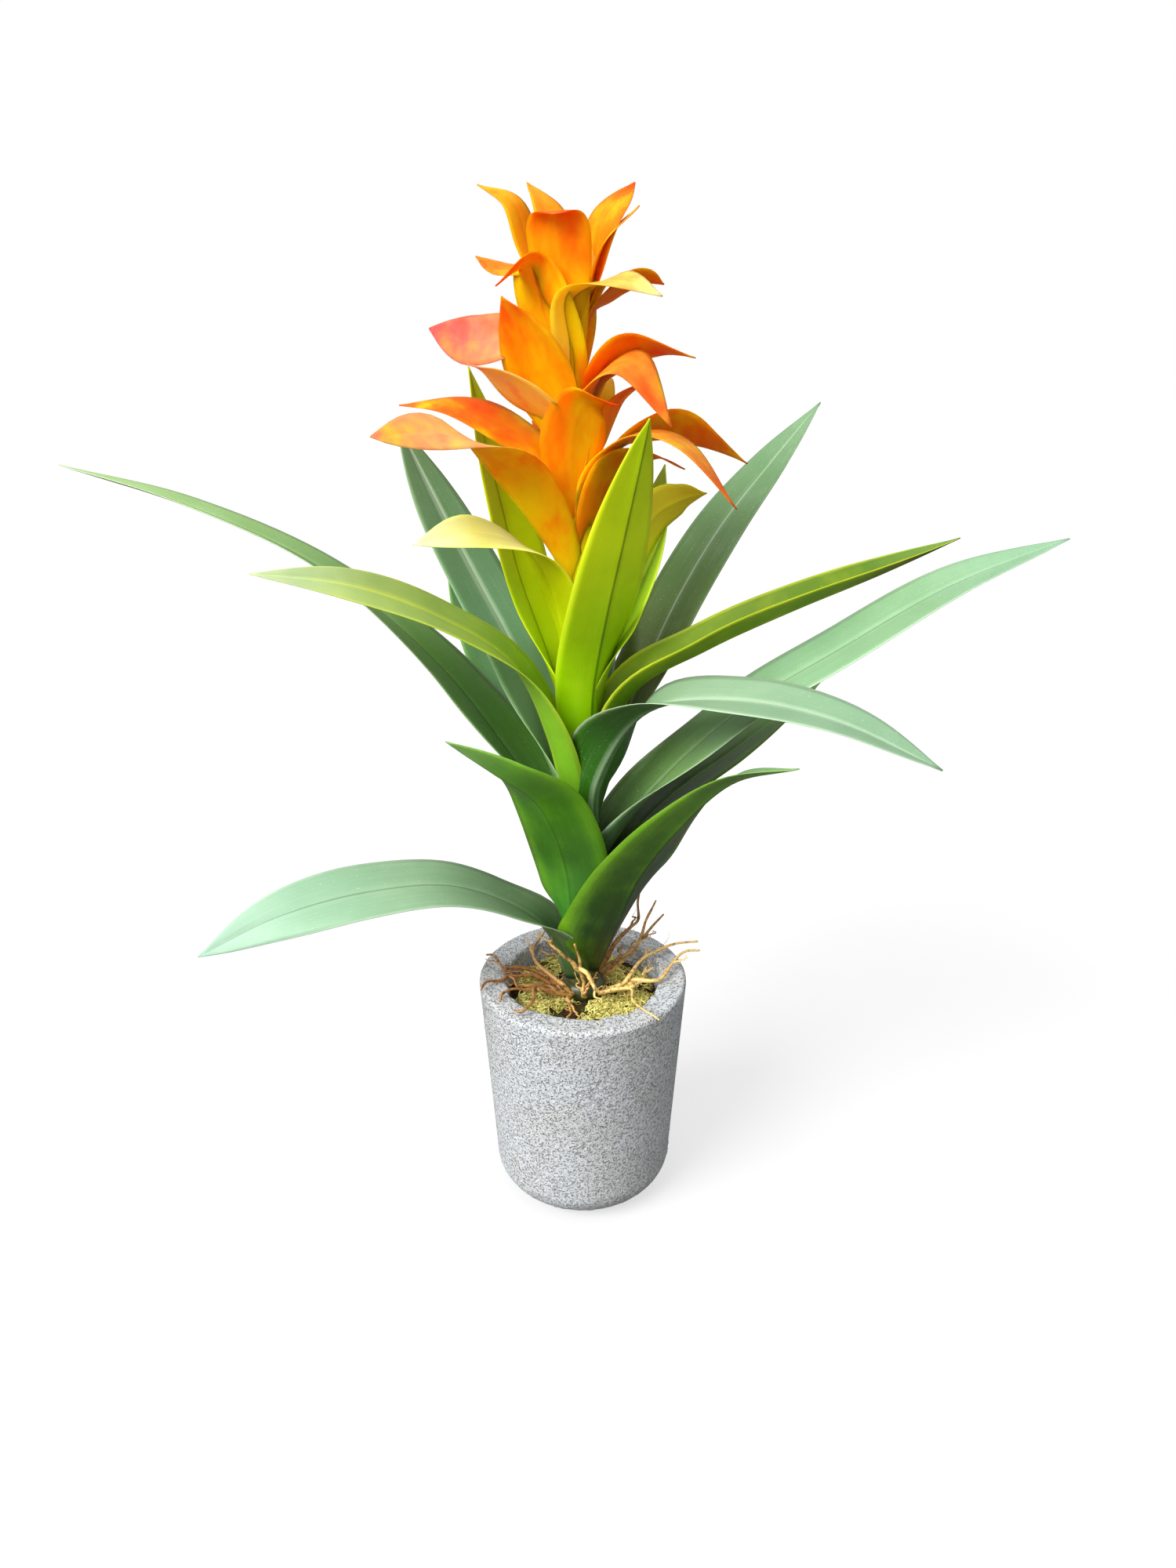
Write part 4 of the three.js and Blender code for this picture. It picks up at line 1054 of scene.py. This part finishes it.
class BladeSettings(PropertyGroup):
    """Finish of the leaves and bracts."""

    wave: length_setting("Margin wave", "How far the margins ripple", 0.0009)
    groove: length_setting("Groove", "Depth of the groove over the midrib", 0.0004)
    veins: strength_setting("Veins", "Strength of the fine veins", 0.35)
    mottle: strength_setting("Mottling", "Strength of the broad mottling", 0.35)
    dust: strength_setting("Dust", "Strength of the pale specks", 0.35)
    relief: strength_setting("Relief", "Strength of the surface relief", 0.35)


class StageSettings(PropertyGroup):
    """Floor, light and camera."""

    floor_size: length_setting("Floor", "Side of the floor", 8.0)
    floor_colour: FloatVectorProperty(
        name="Floor colour", description="Colour of the floor", default=(0.24, 0.24, 0.24), subtype="COLOR"
    )
    floor_glow: strength_setting("Floor glow", "Light that the floor itself gives", 0.62)
    key_strength: strength_setting("Key light", "Strength of the main light", 4.2)
    key_angle: angle_setting("Key softness", "Width of the main light", 35)
    key_azimuth: angle_setting("Key azimuth", "Where the main light stands, from +X", 220)
    key_height: angle_setting("Key height", "How high the main light stands", 40)
    fill_strength: strength_setting("Fill light", "Strength of the fill light", 0.9)
    fill_azimuth: angle_setting("Fill azimuth", "Where the fill light stands, from +X", 255)
    fill_height: angle_setting("Fill height", "How high the fill light stands", 12)
    sky: strength_setting("Sky", "Strength of the soft light from the sides", 0.2)
    overhead: strength_setting("Overhead", "Strength of the soft light from above", 1.2)
    backdrop: strength_setting("Backdrop", "Brightness of the sky as it is seen", 1.0)


def arc(centre, radius, start, end, steps):
    """Points of an arc between two directions in degrees, as [radius, height] pairs."""
    angle = np.radians(np.linspace(start, end, steps + 1))
    return np.stack([centre[0] + radius * np.cos(angle), centre[1] + radius * np.sin(angle)], axis=-1)


def even_line(start, end, spacing):
    """Evenly spaced points between two, without the ends."""
    start, end = np.asarray(start, float), np.asarray(end, float)
    count = max(int(np.linalg.norm(end - start) / spacing), 2)
    share = np.linspace(0, 1, count + 1)[1:-1, None]
    return start + (end - start) * share


def pot_inner_radius(height):
    """Inner radius: the straight taper of the outside, less the wall."""
    foot = POT_TOP_RADIUS * FOOT_SHARE
    return foot + (POT_TOP_RADIUS - foot) * height / POT_HEIGHT - POT_WALL


def pot_profile():
    """Outline of the pot from the middle of its foot round the rim to the middle of its
    floor, finely stepped where it shows."""
    foot = POT_TOP_RADIUS * FOOT_SHARE
    top = POT_TOP_RADIUS
    low = arc((foot - FOOT_ROUND, FOOT_ROUND), FOOT_ROUND, -90, 0, 18)
    outer = arc((top - RIM_ROUND, POT_HEIGHT - RIM_ROUND), RIM_ROUND, 0, 90, 5)
    inner = arc((top - POT_WALL + RIM_ROUND, POT_HEIGHT - RIM_ROUND), RIM_ROUND, 90, 180, 5)
    shoulder = (pot_inner_radius(SOIL_TOP - 6), SOIL_TOP - 6)
    return np.concatenate(
        [
            [[0, 0]],
            even_line((0, 0), low[0], 8),
            low,
            even_line(low[-1], outer[0], 1.0),
            outer,
            even_line(outer[-1], inner[0], 1.0),
            inner,
            even_line(inner[-1], shoulder, 1.0),
            [shoulder, [pot_inner_radius(POT_FLOOR), POT_FLOOR], [0, POT_FLOOR]],
        ]
    )


class GUZMANIA_OT_pot(Operator):
    """Make the pot"""

    bl_idname = "guzmania.pot"
    bl_label = "Pot"

    def execute(self, context):
        settings = context.scene.guzmania_pot
        part = turned(pot_profile(), settings.segments)
        points = part["points"]
        radius = np.hypot(points[:, 0], points[:, 1])
        direction = points[:, :2] / np.maximum(radius, 1e-6)[:, None]
        middle = POT_TOP_RADIUS - POT_WALL / 2
        outside = smooth(radius, middle, middle + 4)
        coarse = speckle(points, PIT_SIZES[0], SEED)
        fine = speckle(points, PIT_SIZES[1], SEED + 1)
        pits = smooth(0.6 * coarse + 0.7 * fine, 0.25, 0.9) + 0.25 * np.abs(fine)
        shown = smooth(points[:, 2], 0.5, 3) * smooth(radius, 10, 30)
        depth = settings.pit_depth / MM * pits * shown
        on_rim = smooth(points[:, 2], POT_HEIGHT - 1.5, POT_HEIGHT - 0.2)
        points[:, 2] -= depth * on_rim
        points[:, :2] -= direction * (depth * (1 - on_rim) * (2 * outside - 1))[:, None]
        edge = np.exp(-(((radius - (POT_TOP_RADIUS - POT_WALL)) / CHIP_REACH) ** 2))
        edge = edge * smooth(points[:, 2], POT_HEIGHT - 12, POT_HEIGHT - 2)
        large = speckle(points, CHIP_SIZES[0], SEED + 2)
        small = speckle(points, CHIP_SIZES[1], SEED + 3)
        chips = smooth(large + 0.7 * small, -0.2, 1.1)
        points[:, :2] += direction * (settings.chip_depth / MM * 1.5 * chips * edge)[:, None]
        points[:, 2] -= settings.chip_depth / MM * chips * edge
        make_object("pot_shell", outward(part), concrete_material(settings), ["pot"])
        return {"FINISHED"}


def concrete_material(settings):
    """Cast concrete: warmer patches, pale and dark grains and dark pores, by noises of three
    sizes, with a rough relief."""
    nodes = Nodes("concrete")
    base = (*settings.colour, 1.0)
    grain = nodes.noise(CONCRETE_NOISE["grain"], None, 3.0, 0.7)
    pores = nodes.noise(CONCRETE_NOISE["pores"], None, 2.0, 0.6)
    patches = nodes.noise(CONCRETE_NOISE["patches"], None, 3.0)
    tints = {key: rgba(colour) for key, colour in CONCRETE_TINTS.items()}
    colour = nodes.mix(nodes.step(patches, 0.35, 0.7, 0.0, 0.35), base, tints["patch"])
    colour = nodes.mix(nodes.step(grain, 0.5, 0.72, 0.0, 0.7), colour, tints["pale"])
    colour = nodes.mix(nodes.step(grain, 0.48, 0.34, 0.0, 0.5), colour, tints["dark"])
    colour = nodes.mix(nodes.step(pores, 0.4, 0.3, 0.0, 0.6), colour, tints["pore"])
    relief = nodes.math("MULTIPLY_ADD", grain, 0.6, nodes.step(pores, 0.3, 0.5))
    nodes.bump(relief, 1.0, 0.0014)
    rough = nodes.math("MULTIPLY_ADD", grain, 0.15, 0.82)
    return nodes.surface(colour, rough, 0.12)


def soil_material(settings):
    """Damp crumbly soil: dark and lighter brown crumbs by a noise."""
    nodes = Nodes("soil")
    crumbs = nodes.noise(420.0, None, 4.0, 0.7)
    colour = nodes.mix(nodes.step(crumbs, 0.4, 0.7), (*settings.soil, 1.0), rgba(SOIL_CRUMB))
    nodes.bump(crumbs, 1.0, 0.002)
    rough = nodes.math("MULTIPLY_ADD", crumbs, 0.15, 0.8)
    return nodes.surface(colour, rough, 0.2)


def bed_material(settings):
    """Moss bed: soil brown under patches of olive, broken up finely."""
    nodes = Nodes("moss_bed")
    fine = nodes.noise(BED_NOISE["fine"], None, 4.0, 0.7)
    broad = nodes.noise(BED_NOISE["broad"], None, 3.0)
    tints = {key: rgba(colour) for key, colour in BED_TINTS.items()}
    dark = nodes.mix(nodes.step(fine, 0.4, 0.65), (*settings.soil, 1.0), tints["brown"])
    green = nodes.mix(nodes.step(fine, 0.35, 0.65), tints["olive"], tints["green"])
    colour = nodes.mix(nodes.step(broad, 0.42, 0.58), dark, green)
    nodes.bump(fine, 1.0, 0.002)
    rough = nodes.math("MULTIPLY_ADD", fine, 0.15, 0.8)
    return nodes.surface(colour, rough, 0.2)


def curl_material(settings):
    """Dry moss strands: each from straw yellow to olive, with fine brown stains."""
    nodes = Nodes("moss_curls")
    share = nodes.add("ShaderNodeAttribute", attribute_name="share").outputs["Fac"]
    stains = nodes.noise(300.0)
    colour = nodes.mix(share, (*settings.moss, 1.0), rgba(CURL_TINTS["olive"]))
    stained = nodes.step(stains, 0.52, 0.75, 0.0, 0.6)
    colour = nodes.mix(stained, colour, rgba(CURL_TINTS["stain"]))
    nodes.bump(nodes.noise(1800.0), 0.4, 0.0003)
    return nodes.surface(colour, nodes.math("MULTIPLY_ADD", stains, 0.2, 0.7), 0.25)


class GUZMANIA_OT_bed(Operator):
    """Make the soil, the moss bed and its curled strands"""

    bl_idname = "guzmania.bed"
    bl_label = "Soil and moss"

    def execute(self, context):
        settings = context.scene.guzmania_bed
        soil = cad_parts["soil"]
        soil.data.materials.clear()
        soil.data.materials.append(soil_material(settings))
        edge = pot_inner_radius(SOIL_TOP) - FIT
        top = SOIL_TOP + settings.rise / MM
        bottom = SOIL_TOP + FIT
        hole = COLLAR_RADIUS + 1
        rings, segments = BED_LATTICE
        shares = np.linspace(0, 1, rings + 1)
        profile = np.stack([edge + (hole - edge) * shares, np.full(rings + 1, top)], axis=-1)
        under = profile[::-1].copy()
        under[:, 1] = bottom
        outline = np.concatenate([profile, under])
        angle = 2 * math.pi * np.arange(segments) / segments
        circle = np.stack([np.cos(angle), np.sin(angle)], axis=-1)
        points = np.concatenate(
            [
                outline[:, None, :1] * circle[None],
                np.broadcast_to(outline[:, None, 1:], (len(outline), segments, 1)),
            ],
            axis=-1,
        )
        upper = points[: rings + 1]
        upper[..., 2] = self.bed_height(upper, settings)
        quads = grid_faces(len(outline), segments, True)
        closing = np.stack(
            [
                (len(outline) - 1) * segments + np.arange(segments),
                (len(outline) - 1) * segments + (np.arange(segments) + 1) % segments,
                (np.arange(segments) + 1) % segments,
                np.arange(segments),
            ],
            axis=-1,
        )
        part = outward({"points": points.reshape(-1, 3), "quads": np.concatenate([quads, closing])})
        make_object("moss_bed", part, bed_material(settings), ["moss"])
        make_object("moss_curls", self.curls(settings, edge, hole), curl_material(settings))
        return {"FINISHED"}

    def bed_height(self, points, settings):
        """Height of the bed: its rise, plus lumps of two sizes, falling off to the wall."""
        radius = np.hypot(points[..., 0], points[..., 1])
        edge = pot_inner_radius(SOIL_TOP) - FIT
        lumps = speckle(points * [1, 1, 0], 9, SEED + 4) + 0.5 * speckle(points * [1, 1, 0], 3, SEED + 5)
        crumbs = 0.45 * speckle(points * [1, 1, 0], 1.2, SEED + 6)
        fall = smooth(radius, edge - 7, edge)
        rise = settings.rise / MM * (1 - 0.6 * fall)
        return SOIL_TOP + rise + settings.lump / MM * (lumps * (1 - 0.5 * fall) + crumbs)

    def curls(self, settings, edge, hole):
        """Curled strands lying on the bed. Each is a straight run with a circle added to it
        as it goes, flattened upright, and sits where a broad random field is high."""
        draw = np.random.default_rng(SEED)
        tries = settings.curls * 4
        radius = np.sqrt(draw.uniform(hole**2, (edge - 1.5) ** 2, tries))
        angle = draw.uniform(0, 2 * math.pi, tries)
        start = np.stack([radius * np.cos(angle), radius * np.sin(angle), np.zeros(tries)], axis=-1)
        grown = speckle(start, CLUMP_SIZE, SEED + 7) > draw.uniform(*CLUMP_BARS, tries)
        start = start[grown][: settings.curls]
        count = len(start)
        stations, sides = CURL_LATTICE
        s = np.linspace(0, 1, stations)
        length = settings.curl_length / MM * draw.uniform(0.5, 1.4, count)
        heading = draw.uniform(0, 2 * math.pi, count)
        turns = draw.uniform(1.0, 2.6, count)
        phase = draw.uniform(0, 2 * math.pi, count)
        size = draw.uniform(0.8, 2.2, count)
        run = (s[None] - 0.5) * length[:, None] * 0.55
        swing = 2 * math.pi * turns[:, None] * s[None] + phase[:, None]
        x = start[:, None, 0] + run * np.cos(heading)[:, None] + size[:, None] * np.cos(swing)
        y = start[:, None, 1] + run * np.sin(heading)[:, None] + size[:, None] * np.sin(swing)
        reach = np.hypot(x, y)
        limit = np.clip(reach, hole + 0.5, edge - 1.2) / reach
        path = np.stack([x * limit, y * limit, np.zeros_like(x)], axis=-1)
        ground = self.bed_height(path, settings)
        hop = 0.8 * size * draw.uniform(0.2, 0.9, count)
        path[..., 2] = ground + 0.5 + hop[:, None] * (1 + np.sin(swing * 1.3))
        taper = 1 - 0.5 * np.abs(2 * s - 1) ** 3
        radii = settings.curl_radius / MM * draw.uniform(0.7, 1.3, count)[:, None] * taper
        return tubes(path, radii, sides, draw.uniform(0, 1, count))


def root_material(settings):
    """Roots with a sheen: brown to golden by each root's own share, darker in the dips of a
    noise and paler in patches, which are painted highlights. A share below zero marks the
    dark green collar."""
    nodes = Nodes("roots")
    share = nodes.add("ShaderNodeAttribute", attribute_name="share").outputs["Fac"]
    fibre = nodes.noise(ROOT_NOISE["fibre"], None, 4.0, 0.6)
    broad = nodes.noise(ROOT_NOISE["broad"])
    colour = nodes.mix(share, (*settings.brown, 1.0), (*settings.golden, 1.0))
    # The paler patches are painted highlights.
    colour = nodes.mix(nodes.step(broad, 0.5, 0.7, 0.0, 0.5), colour, rgba(ROOT_TINTS["pale"]))
    dips = nodes.step(fibre, 0.52, 0.32, 0.0, 0.85)
    colour = nodes.mix(dips, colour, rgba(ROOT_TINTS["dip"]))
    collar = nodes.mix(fibre, *[rgba(colour) for colour in COLLAR_TINTS])
    colour = nodes.mix(nodes.step(share, -0.1, -0.9), colour, collar)
    nodes.bump(fibre, 0.6, 0.0006)
    return nodes.surface(colour, nodes.math("MULTIPLY_ADD", fibre, 0.25, 0.25), 0.6)


class GUZMANIA_OT_roots(Operator):
    """Make the collar and the aerial roots"""

    bl_idname = "guzmania.roots"
    bl_label = "Roots"

    def execute(self, context):
        settings = context.scene.guzmania_roots
        draw = np.random.default_rng(SEED + 1)
        stations, sides = ROOT_LATTICE
        s = np.linspace(0, 1, stations)
        paths = []
        radii = []
        shares = []
        thick, thin = settings.radius / MM, settings.tip_radius / MM
        for row in ROOTS:
            path = along(row["route"], s)
            path = path + self.wander(path, settings.wobble / MM, draw) * smooth(s, 0, 0.2)[:, None]
            knots = 1 + 0.18 * np.interp(s, np.linspace(0, 1, 12), draw.uniform(-1, 1, 12))
            paths.append(path)
            radii.append((thick + (thin - thick) * s) * knots)
            shares.append(row["golden"] * np.ones(1))
            for _ in range(settings.branches):
                start = draw.integers(*ROOTLET_STATIONS)
                heading = unit(path[start + 4] - path[start])
                aside = unit(np.cross(heading, [0, 0, 1])) * draw.choice([-1, 1])
                direction = unit(heading + aside * draw.uniform(0.3, 1.0) + [0, 0, draw.uniform(-0.1, 0.25)])
                twig = path[start] + direction * (s * draw.uniform(*ROOTLET_LENGTHS))[:, None]
                twig = twig + self.wander(twig, 1.5 * settings.wobble / MM, draw) * s[:, None]
                twig[:, 2] = np.maximum(twig[:, 2], self.ground(twig))
                paths.append(twig)
                radii.append(0.75 * radii[-1][start] * (1 - 0.6 * s))
                shares.append(np.clip(row["golden"] + draw.uniform(-0.1, 0.25, 1), 0, 1))
        part = tubes(np.array(paths), np.array(radii), sides, np.concatenate(shares))
        collar_profile = [
            [0, SOIL_TOP + FIT], [COLLAR_RADIUS, SOIL_TOP + FIT], [COLLAR_RADIUS, COLLAR_TOP - 4],
            [COLLAR_RADIUS - 1, COLLAR_TOP - 1], [COLLAR_RADIUS - 3, COLLAR_TOP], [0, COLLAR_TOP],
        ]
        collar = turned(collar_profile, 48)
        collar["share"] = -np.ones(len(collar["points"]))
        whole = joined([part, outward(collar)])
        make_object("root_tangle", whole, root_material(settings), ["roots"])
        return {"FINISHED"}

    def wander(self, path, reach, draw):
        """Smooth stray of a path: a random direction at eight places along it, joined by a
        curve."""
        knots = draw.uniform(-1, 1, (8, 3)) * [1, 1, 0.6]
        return reach * along(knots, np.linspace(0, 1, len(path)))

    def ground(self, path):
        """Height that keeps a root above the moss, or above the rim where it crosses it."""
        radius = np.hypot(path[:, 0], path[:, 1])
        return np.where(radius < POT_TOP_RADIUS - POT_WALL, SOIL_TOP + 6, POT_HEIGHT + 0.6)


def stem_material():
    """Dark stem: green to brown in broad patches, with upright fibres."""
    nodes = Nodes("stem")
    fibres = nodes.noise(1.0, nodes.stretched(nodes.place(), (700.0, 700.0, 60.0)))
    broad = nodes.noise(60.0)
    tints = {key: rgba(colour) for key, colour in STEM_TINTS.items()}
    colour = nodes.mix(nodes.step(broad, 0.35, 0.65), tints["green"], tints["brown"])
    colour = nodes.mix(nodes.step(fibres, 0.45, 0.7, 0.0, 0.6), colour, tints["fibre"])
    nodes.bump(fibres, 0.5, 0.0005)
    return nodes.surface(colour, nodes.math("MULTIPLY_ADD", fibres, 0.2, 0.55), 0.3)


class GUZMANIA_OT_stem(Operator):
    """Finish the stem"""

    bl_idname = "guzmania.stem"
    bl_label = "Stem"

    def execute(self, context):
        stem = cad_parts["stem"]
        stem.data.materials.clear()
        stem.data.materials.append(stem_material())
        return {"FINISHED"}


class GUZMANIA_OT_leaves(Operator):
    """Make the leaves and the two small blades between leaf and flower"""

    bl_idname = "guzmania.leaves"
    bl_label = "Leaves"

    def execute(self, context):
        settings = context.scene.guzmania_blades
        leaf = blade_material("leaf", settings, LEAF_FINISH)
        dark = blade_material("leaf_dark", settings, DARK_LEAF_FINISH)
        lime = blade_material("leaf_lime", settings, LIME_LEAF_FINISH)
        materials = {"leaf_lime": lime, "leaf_olive": lime, "leaf_dark": dark}
        wave, groove = settings.wave / MM, settings.groove / MM
        for i, row in enumerate(LEAVES):
            reach = stem_radius(row["root"]) + FIT + LEAF_SKIN[0] / 2
            part = blade(row, LEAF_SHAPE, reach, 0, LEAF_SKIN, LEAF_LATTICE, wave, groove, i)
            material = materials.get(row["slot"], leaf)
            make_object("blade_" + row["name"], part, material, ["leaf_" + row["name"]])
        for i, row in enumerate(TRANSITION):
            reach = stem_radius(row["root"]) + FIT + LEAF_SKIN[0] / 2
            seed = TRANSITION_SEED + i
            part = blade(row, BRACT_SHAPE, reach, 0, LEAF_SKIN, BRACT_LATTICE, wave, groove, seed)
            make_object("blade_" + row["name"], part, lime, ["bract_" + row["name"]])
        return {"FINISHED"}


def far_bracts():
    """Rows of the far bracts: each higher one is smaller, and their azimuths swing to and
    fro as they climb."""
    count = FAR_BRACTS["count"]
    first, last = FAR_BRACTS["first_azimuth"], FAR_BRACTS["last_azimuth"]
    rows = []
    for i in range(count):
        climb = i / (count - 1)
        swing = ((i * FAR_BRACT_STRIDE) % (count - 1)) / (count - 1)
        size = {key: FAR_BRACT_SIZE[key] * (1 - FAR_BRACT_SHRINK[key] * climb) for key in FAR_BRACT_SIZE}
        root = FAR_BRACTS["lowest"] + (FAR_BRACTS["highest"] - FAR_BRACTS["lowest"]) * climb
        rows.append(
            dict(
                azimuth=first + (last - first) * swing,
                root=root,
                path=[[out * size["reach"], root + up * size["rise"]] for out, up in FAR_BRACT_CURVE],
                width=size["width"],
                tone=FAR_BRACT_TONES[i % len(FAR_BRACT_TONES)],
            )
        )
    return rows


class GUZMANIA_OT_bloom(Operator):
    """Make the flower head: its core and every bract on it"""

    bl_idname = "guzmania.bloom"
    bl_label = "Flower head"

    def execute(self, context):
        settings = context.scene.guzmania_blades
        material = blade_material("bract", settings, BRACT_FINISH)
        parts = []
        for i, row in enumerate([*BRACTS, *far_bracts()]):
            dressed = {**row, **TONES[row["tone"]], "marks": (-0.1, 0.05, -0.25)}
            parts.append(
                blade(
                    dressed, BRACT_SHAPE, BRACT_ROOT_REACH, lean(row["root"]), BRACT_SKIN, BRACT_LATTICE,
                    0.6 * settings.wave / MM, 0.5 * settings.groove / MM, BRACT_SEED + i,
                )
            )
        parts.append(self.core())
        make_object("flower_head", joined(parts), material, ["bloom"])
        return {"FINISHED"}

    def core(self):
        """Core of the head: a leaning tube that gets thinner to its top, with the colour of
        the bracts' throats."""
        s = np.linspace(0, 1, 13)
        height = STEM_TOP + FIT + (CORE_TOP - STEM_TOP - FIT) * s
        path = np.stack([lean(height), np.zeros_like(s), height], axis=-1)
        radii = CORE_RADIUS + (CORE_TOP_RADIUS - CORE_RADIUS) * s
        part = tubes(path[None], radii[None], 24, np.zeros(1))
        count = len(part["points"])
        rim = np.linspace(0.2, 0.8, count)
        return {
            "points": part["points"],
            "quads": np.concatenate([part["quads"], part["triangles"][:, [0, 1, 2, 2]]]),
            "uv": np.stack([rim, np.full(count, 0.75)], axis=-1),
            "tint": np.tile(paint(THROAT_TINT), (count, 1)),
            "marks": np.zeros((count, 3)),
        }


class GUZMANIA_OT_stage(Operator):
    """Make the floor, the lights and the camera"""

    bl_idname = "guzmania.stage"
    bl_label = "Stage"

    def execute(self, context):
        settings = context.scene.guzmania_stage
        scene = context.scene
        side = settings.floor_size / 2
        mesh = bpy.data.meshes.new("floor")
        corners = [(-side, -side), (side, -side), (side, side), (-side, side)]
        mesh.from_pydata([(x, y, -FLOOR_GAP) for x, y in corners], [], [(0, 1, 2, 3)])
        nodes = Nodes("floor")
        nodes.shader.inputs["Base Color"].default_value = (*settings.floor_colour, 1.0)
        nodes.shader.inputs["Roughness"].default_value = 0.9
        nodes.shader.inputs["Emission Color"].default_value = (1, 1, 1, 1)
        nodes.shader.inputs["Emission Strength"].default_value = settings.floor_glow
        mesh.materials.append(nodes.material)
        floor = bpy.data.objects.new("floor", mesh)
        # The white floor is seen, but throws no light up under the leaves.
        floor.visible_diffuse = False
        floor.visible_glossy = False
        scene.collection.objects.link(floor)
        self.sky(scene, settings)
        width = settings.key_angle
        self.lamp("key", settings.key_strength, width, settings.key_azimuth, settings.key_height)
        self.lamp("fill", settings.fill_strength, 2 * width, settings.fill_azimuth, settings.fill_height)
        scene.view_settings.view_transform = "Standard"
        camera = bpy.data.cameras.new("camera")
        camera.lens = CAMERA_LENS
        camera.sensor_width = CAMERA_SENSOR
        eye = bpy.data.objects.new("camera", camera)
        eye.location = [value * MM for value in CAMERA_PLACE]
        eye.rotation_euler = (math.radians(90 - CAMERA_PITCH_DOWN), 0, 0)
        scene.collection.objects.link(eye)
        scene.camera = eye
        return {"FINISHED"}

    def sky(self, scene, settings):
        """A white sky, brighter overhead, which is seen even whatever light it gives."""
        world = bpy.data.worlds.new("studio")
        world.use_nodes = True
        tree = world.node_tree
        backdrop = tree.nodes["Background"]
        backdrop.inputs["Color"].default_value = (1, 1, 1, 1)
        direction = tree.nodes.new("ShaderNodeTexCoord")
        height = tree.nodes.new("ShaderNodeSeparateXYZ")
        tree.links.new(direction.outputs["Generated"], height.inputs[0])
        light = tree.nodes.new("ShaderNodeMapRange")
        light.interpolation_type = "SMOOTHSTEP"
        tree.links.new(height.outputs["Z"], light.inputs["Value"])
        light.inputs["To Min"].default_value = settings.sky
        light.inputs["To Max"].default_value = settings.overhead
        seen = tree.nodes.new("ShaderNodeLightPath")
        brightness = tree.nodes.new("ShaderNodeMapRange")
        tree.links.new(seen.outputs["Is Camera Ray"], brightness.inputs["Value"])
        tree.links.new(light.outputs["Result"], brightness.inputs["To Min"])
        brightness.inputs["To Max"].default_value = settings.backdrop
        tree.links.new(brightness.outputs["Result"], backdrop.inputs["Strength"])
        scene.world = world

    def lamp(self, name, strength, width, azimuth, height):
        """A wide soft lamp far away, which shines from that azimuth and height."""
        light = bpy.data.lights.new(name, "SUN")
        light.energy = strength
        light.angle = width
        lamp = bpy.data.objects.new(name, light)
        lamp.rotation_euler = (math.pi / 2 - height, 0, azimuth + math.pi / 2)
        bpy.context.scene.collection.objects.link(lamp)


class GUZMANIA_PT_panel(Panel):
    """Sizes, colours and buttons for each group of pieces"""

    bl_label = "Potted guzmania"
    bl_idname = "GUZMANIA_PT_panel"
    bl_space_type = "VIEW_3D"
    bl_region_type = "UI"
    bl_category = "Guzmania"

    def draw(self, context):
        for key, operators in PANEL_ROWS:
            box = self.layout.box()
            if key:
                settings = getattr(context.scene, key)
                for name in settings.bl_rna.properties.keys():
                    if name not in ("rna_type", "name"):
                        box.prop(settings, name)
            for operator in operators:
                box.operator(operator.bl_idname)


SETTINGS = {
    "guzmania_pot": PotSettings,
    "guzmania_bed": BedSettings,
    "guzmania_roots": RootSettings,
    "guzmania_blades": BladeSettings,
    "guzmania_stage": StageSettings,
}
OPERATORS = [
    GUZMANIA_OT_stage,
    GUZMANIA_OT_pot,
    GUZMANIA_OT_bed,
    GUZMANIA_OT_roots,
    GUZMANIA_OT_stem,
    GUZMANIA_OT_leaves,
    GUZMANIA_OT_bloom,
]
PANEL_ROWS = [
    ("guzmania_pot", [GUZMANIA_OT_pot]),
    ("guzmania_bed", [GUZMANIA_OT_bed]),
    ("guzmania_roots", [GUZMANIA_OT_roots]),
    (None, [GUZMANIA_OT_stem]),
    ("guzmania_blades", [GUZMANIA_OT_leaves, GUZMANIA_OT_bloom]),
    ("guzmania_stage", [GUZMANIA_OT_stage]),
]


def register():
    """Makes the settings, the operators and the panel known to Blender."""
    for item in [*SETTINGS.values(), *OPERATORS, GUZMANIA_PT_panel]:
        bpy.utils.register_class(item)
    for key, kind in SETTINGS.items():
        setattr(bpy.types.Scene, key, PointerProperty(type=kind))


def unregister():
    """Takes them away again."""
    for key in SETTINGS:
        delattr(bpy.types.Scene, key)
    for item in [GUZMANIA_PT_panel, *OPERATORS[::-1], *list(SETTINGS.values())[::-1]]:
        bpy.utils.unregister_class(item)


def main():
    """Builds every piece in order."""
    register()
    bpy.ops.guzmania.stage()
    bpy.ops.guzmania.pot()
    bpy.ops.guzmania.bed()
    bpy.ops.guzmania.roots()
    bpy.ops.guzmania.stem()
    bpy.ops.guzmania.leaves()
    bpy.ops.guzmania.bloom()


if __name__ == "__main__":
    main()
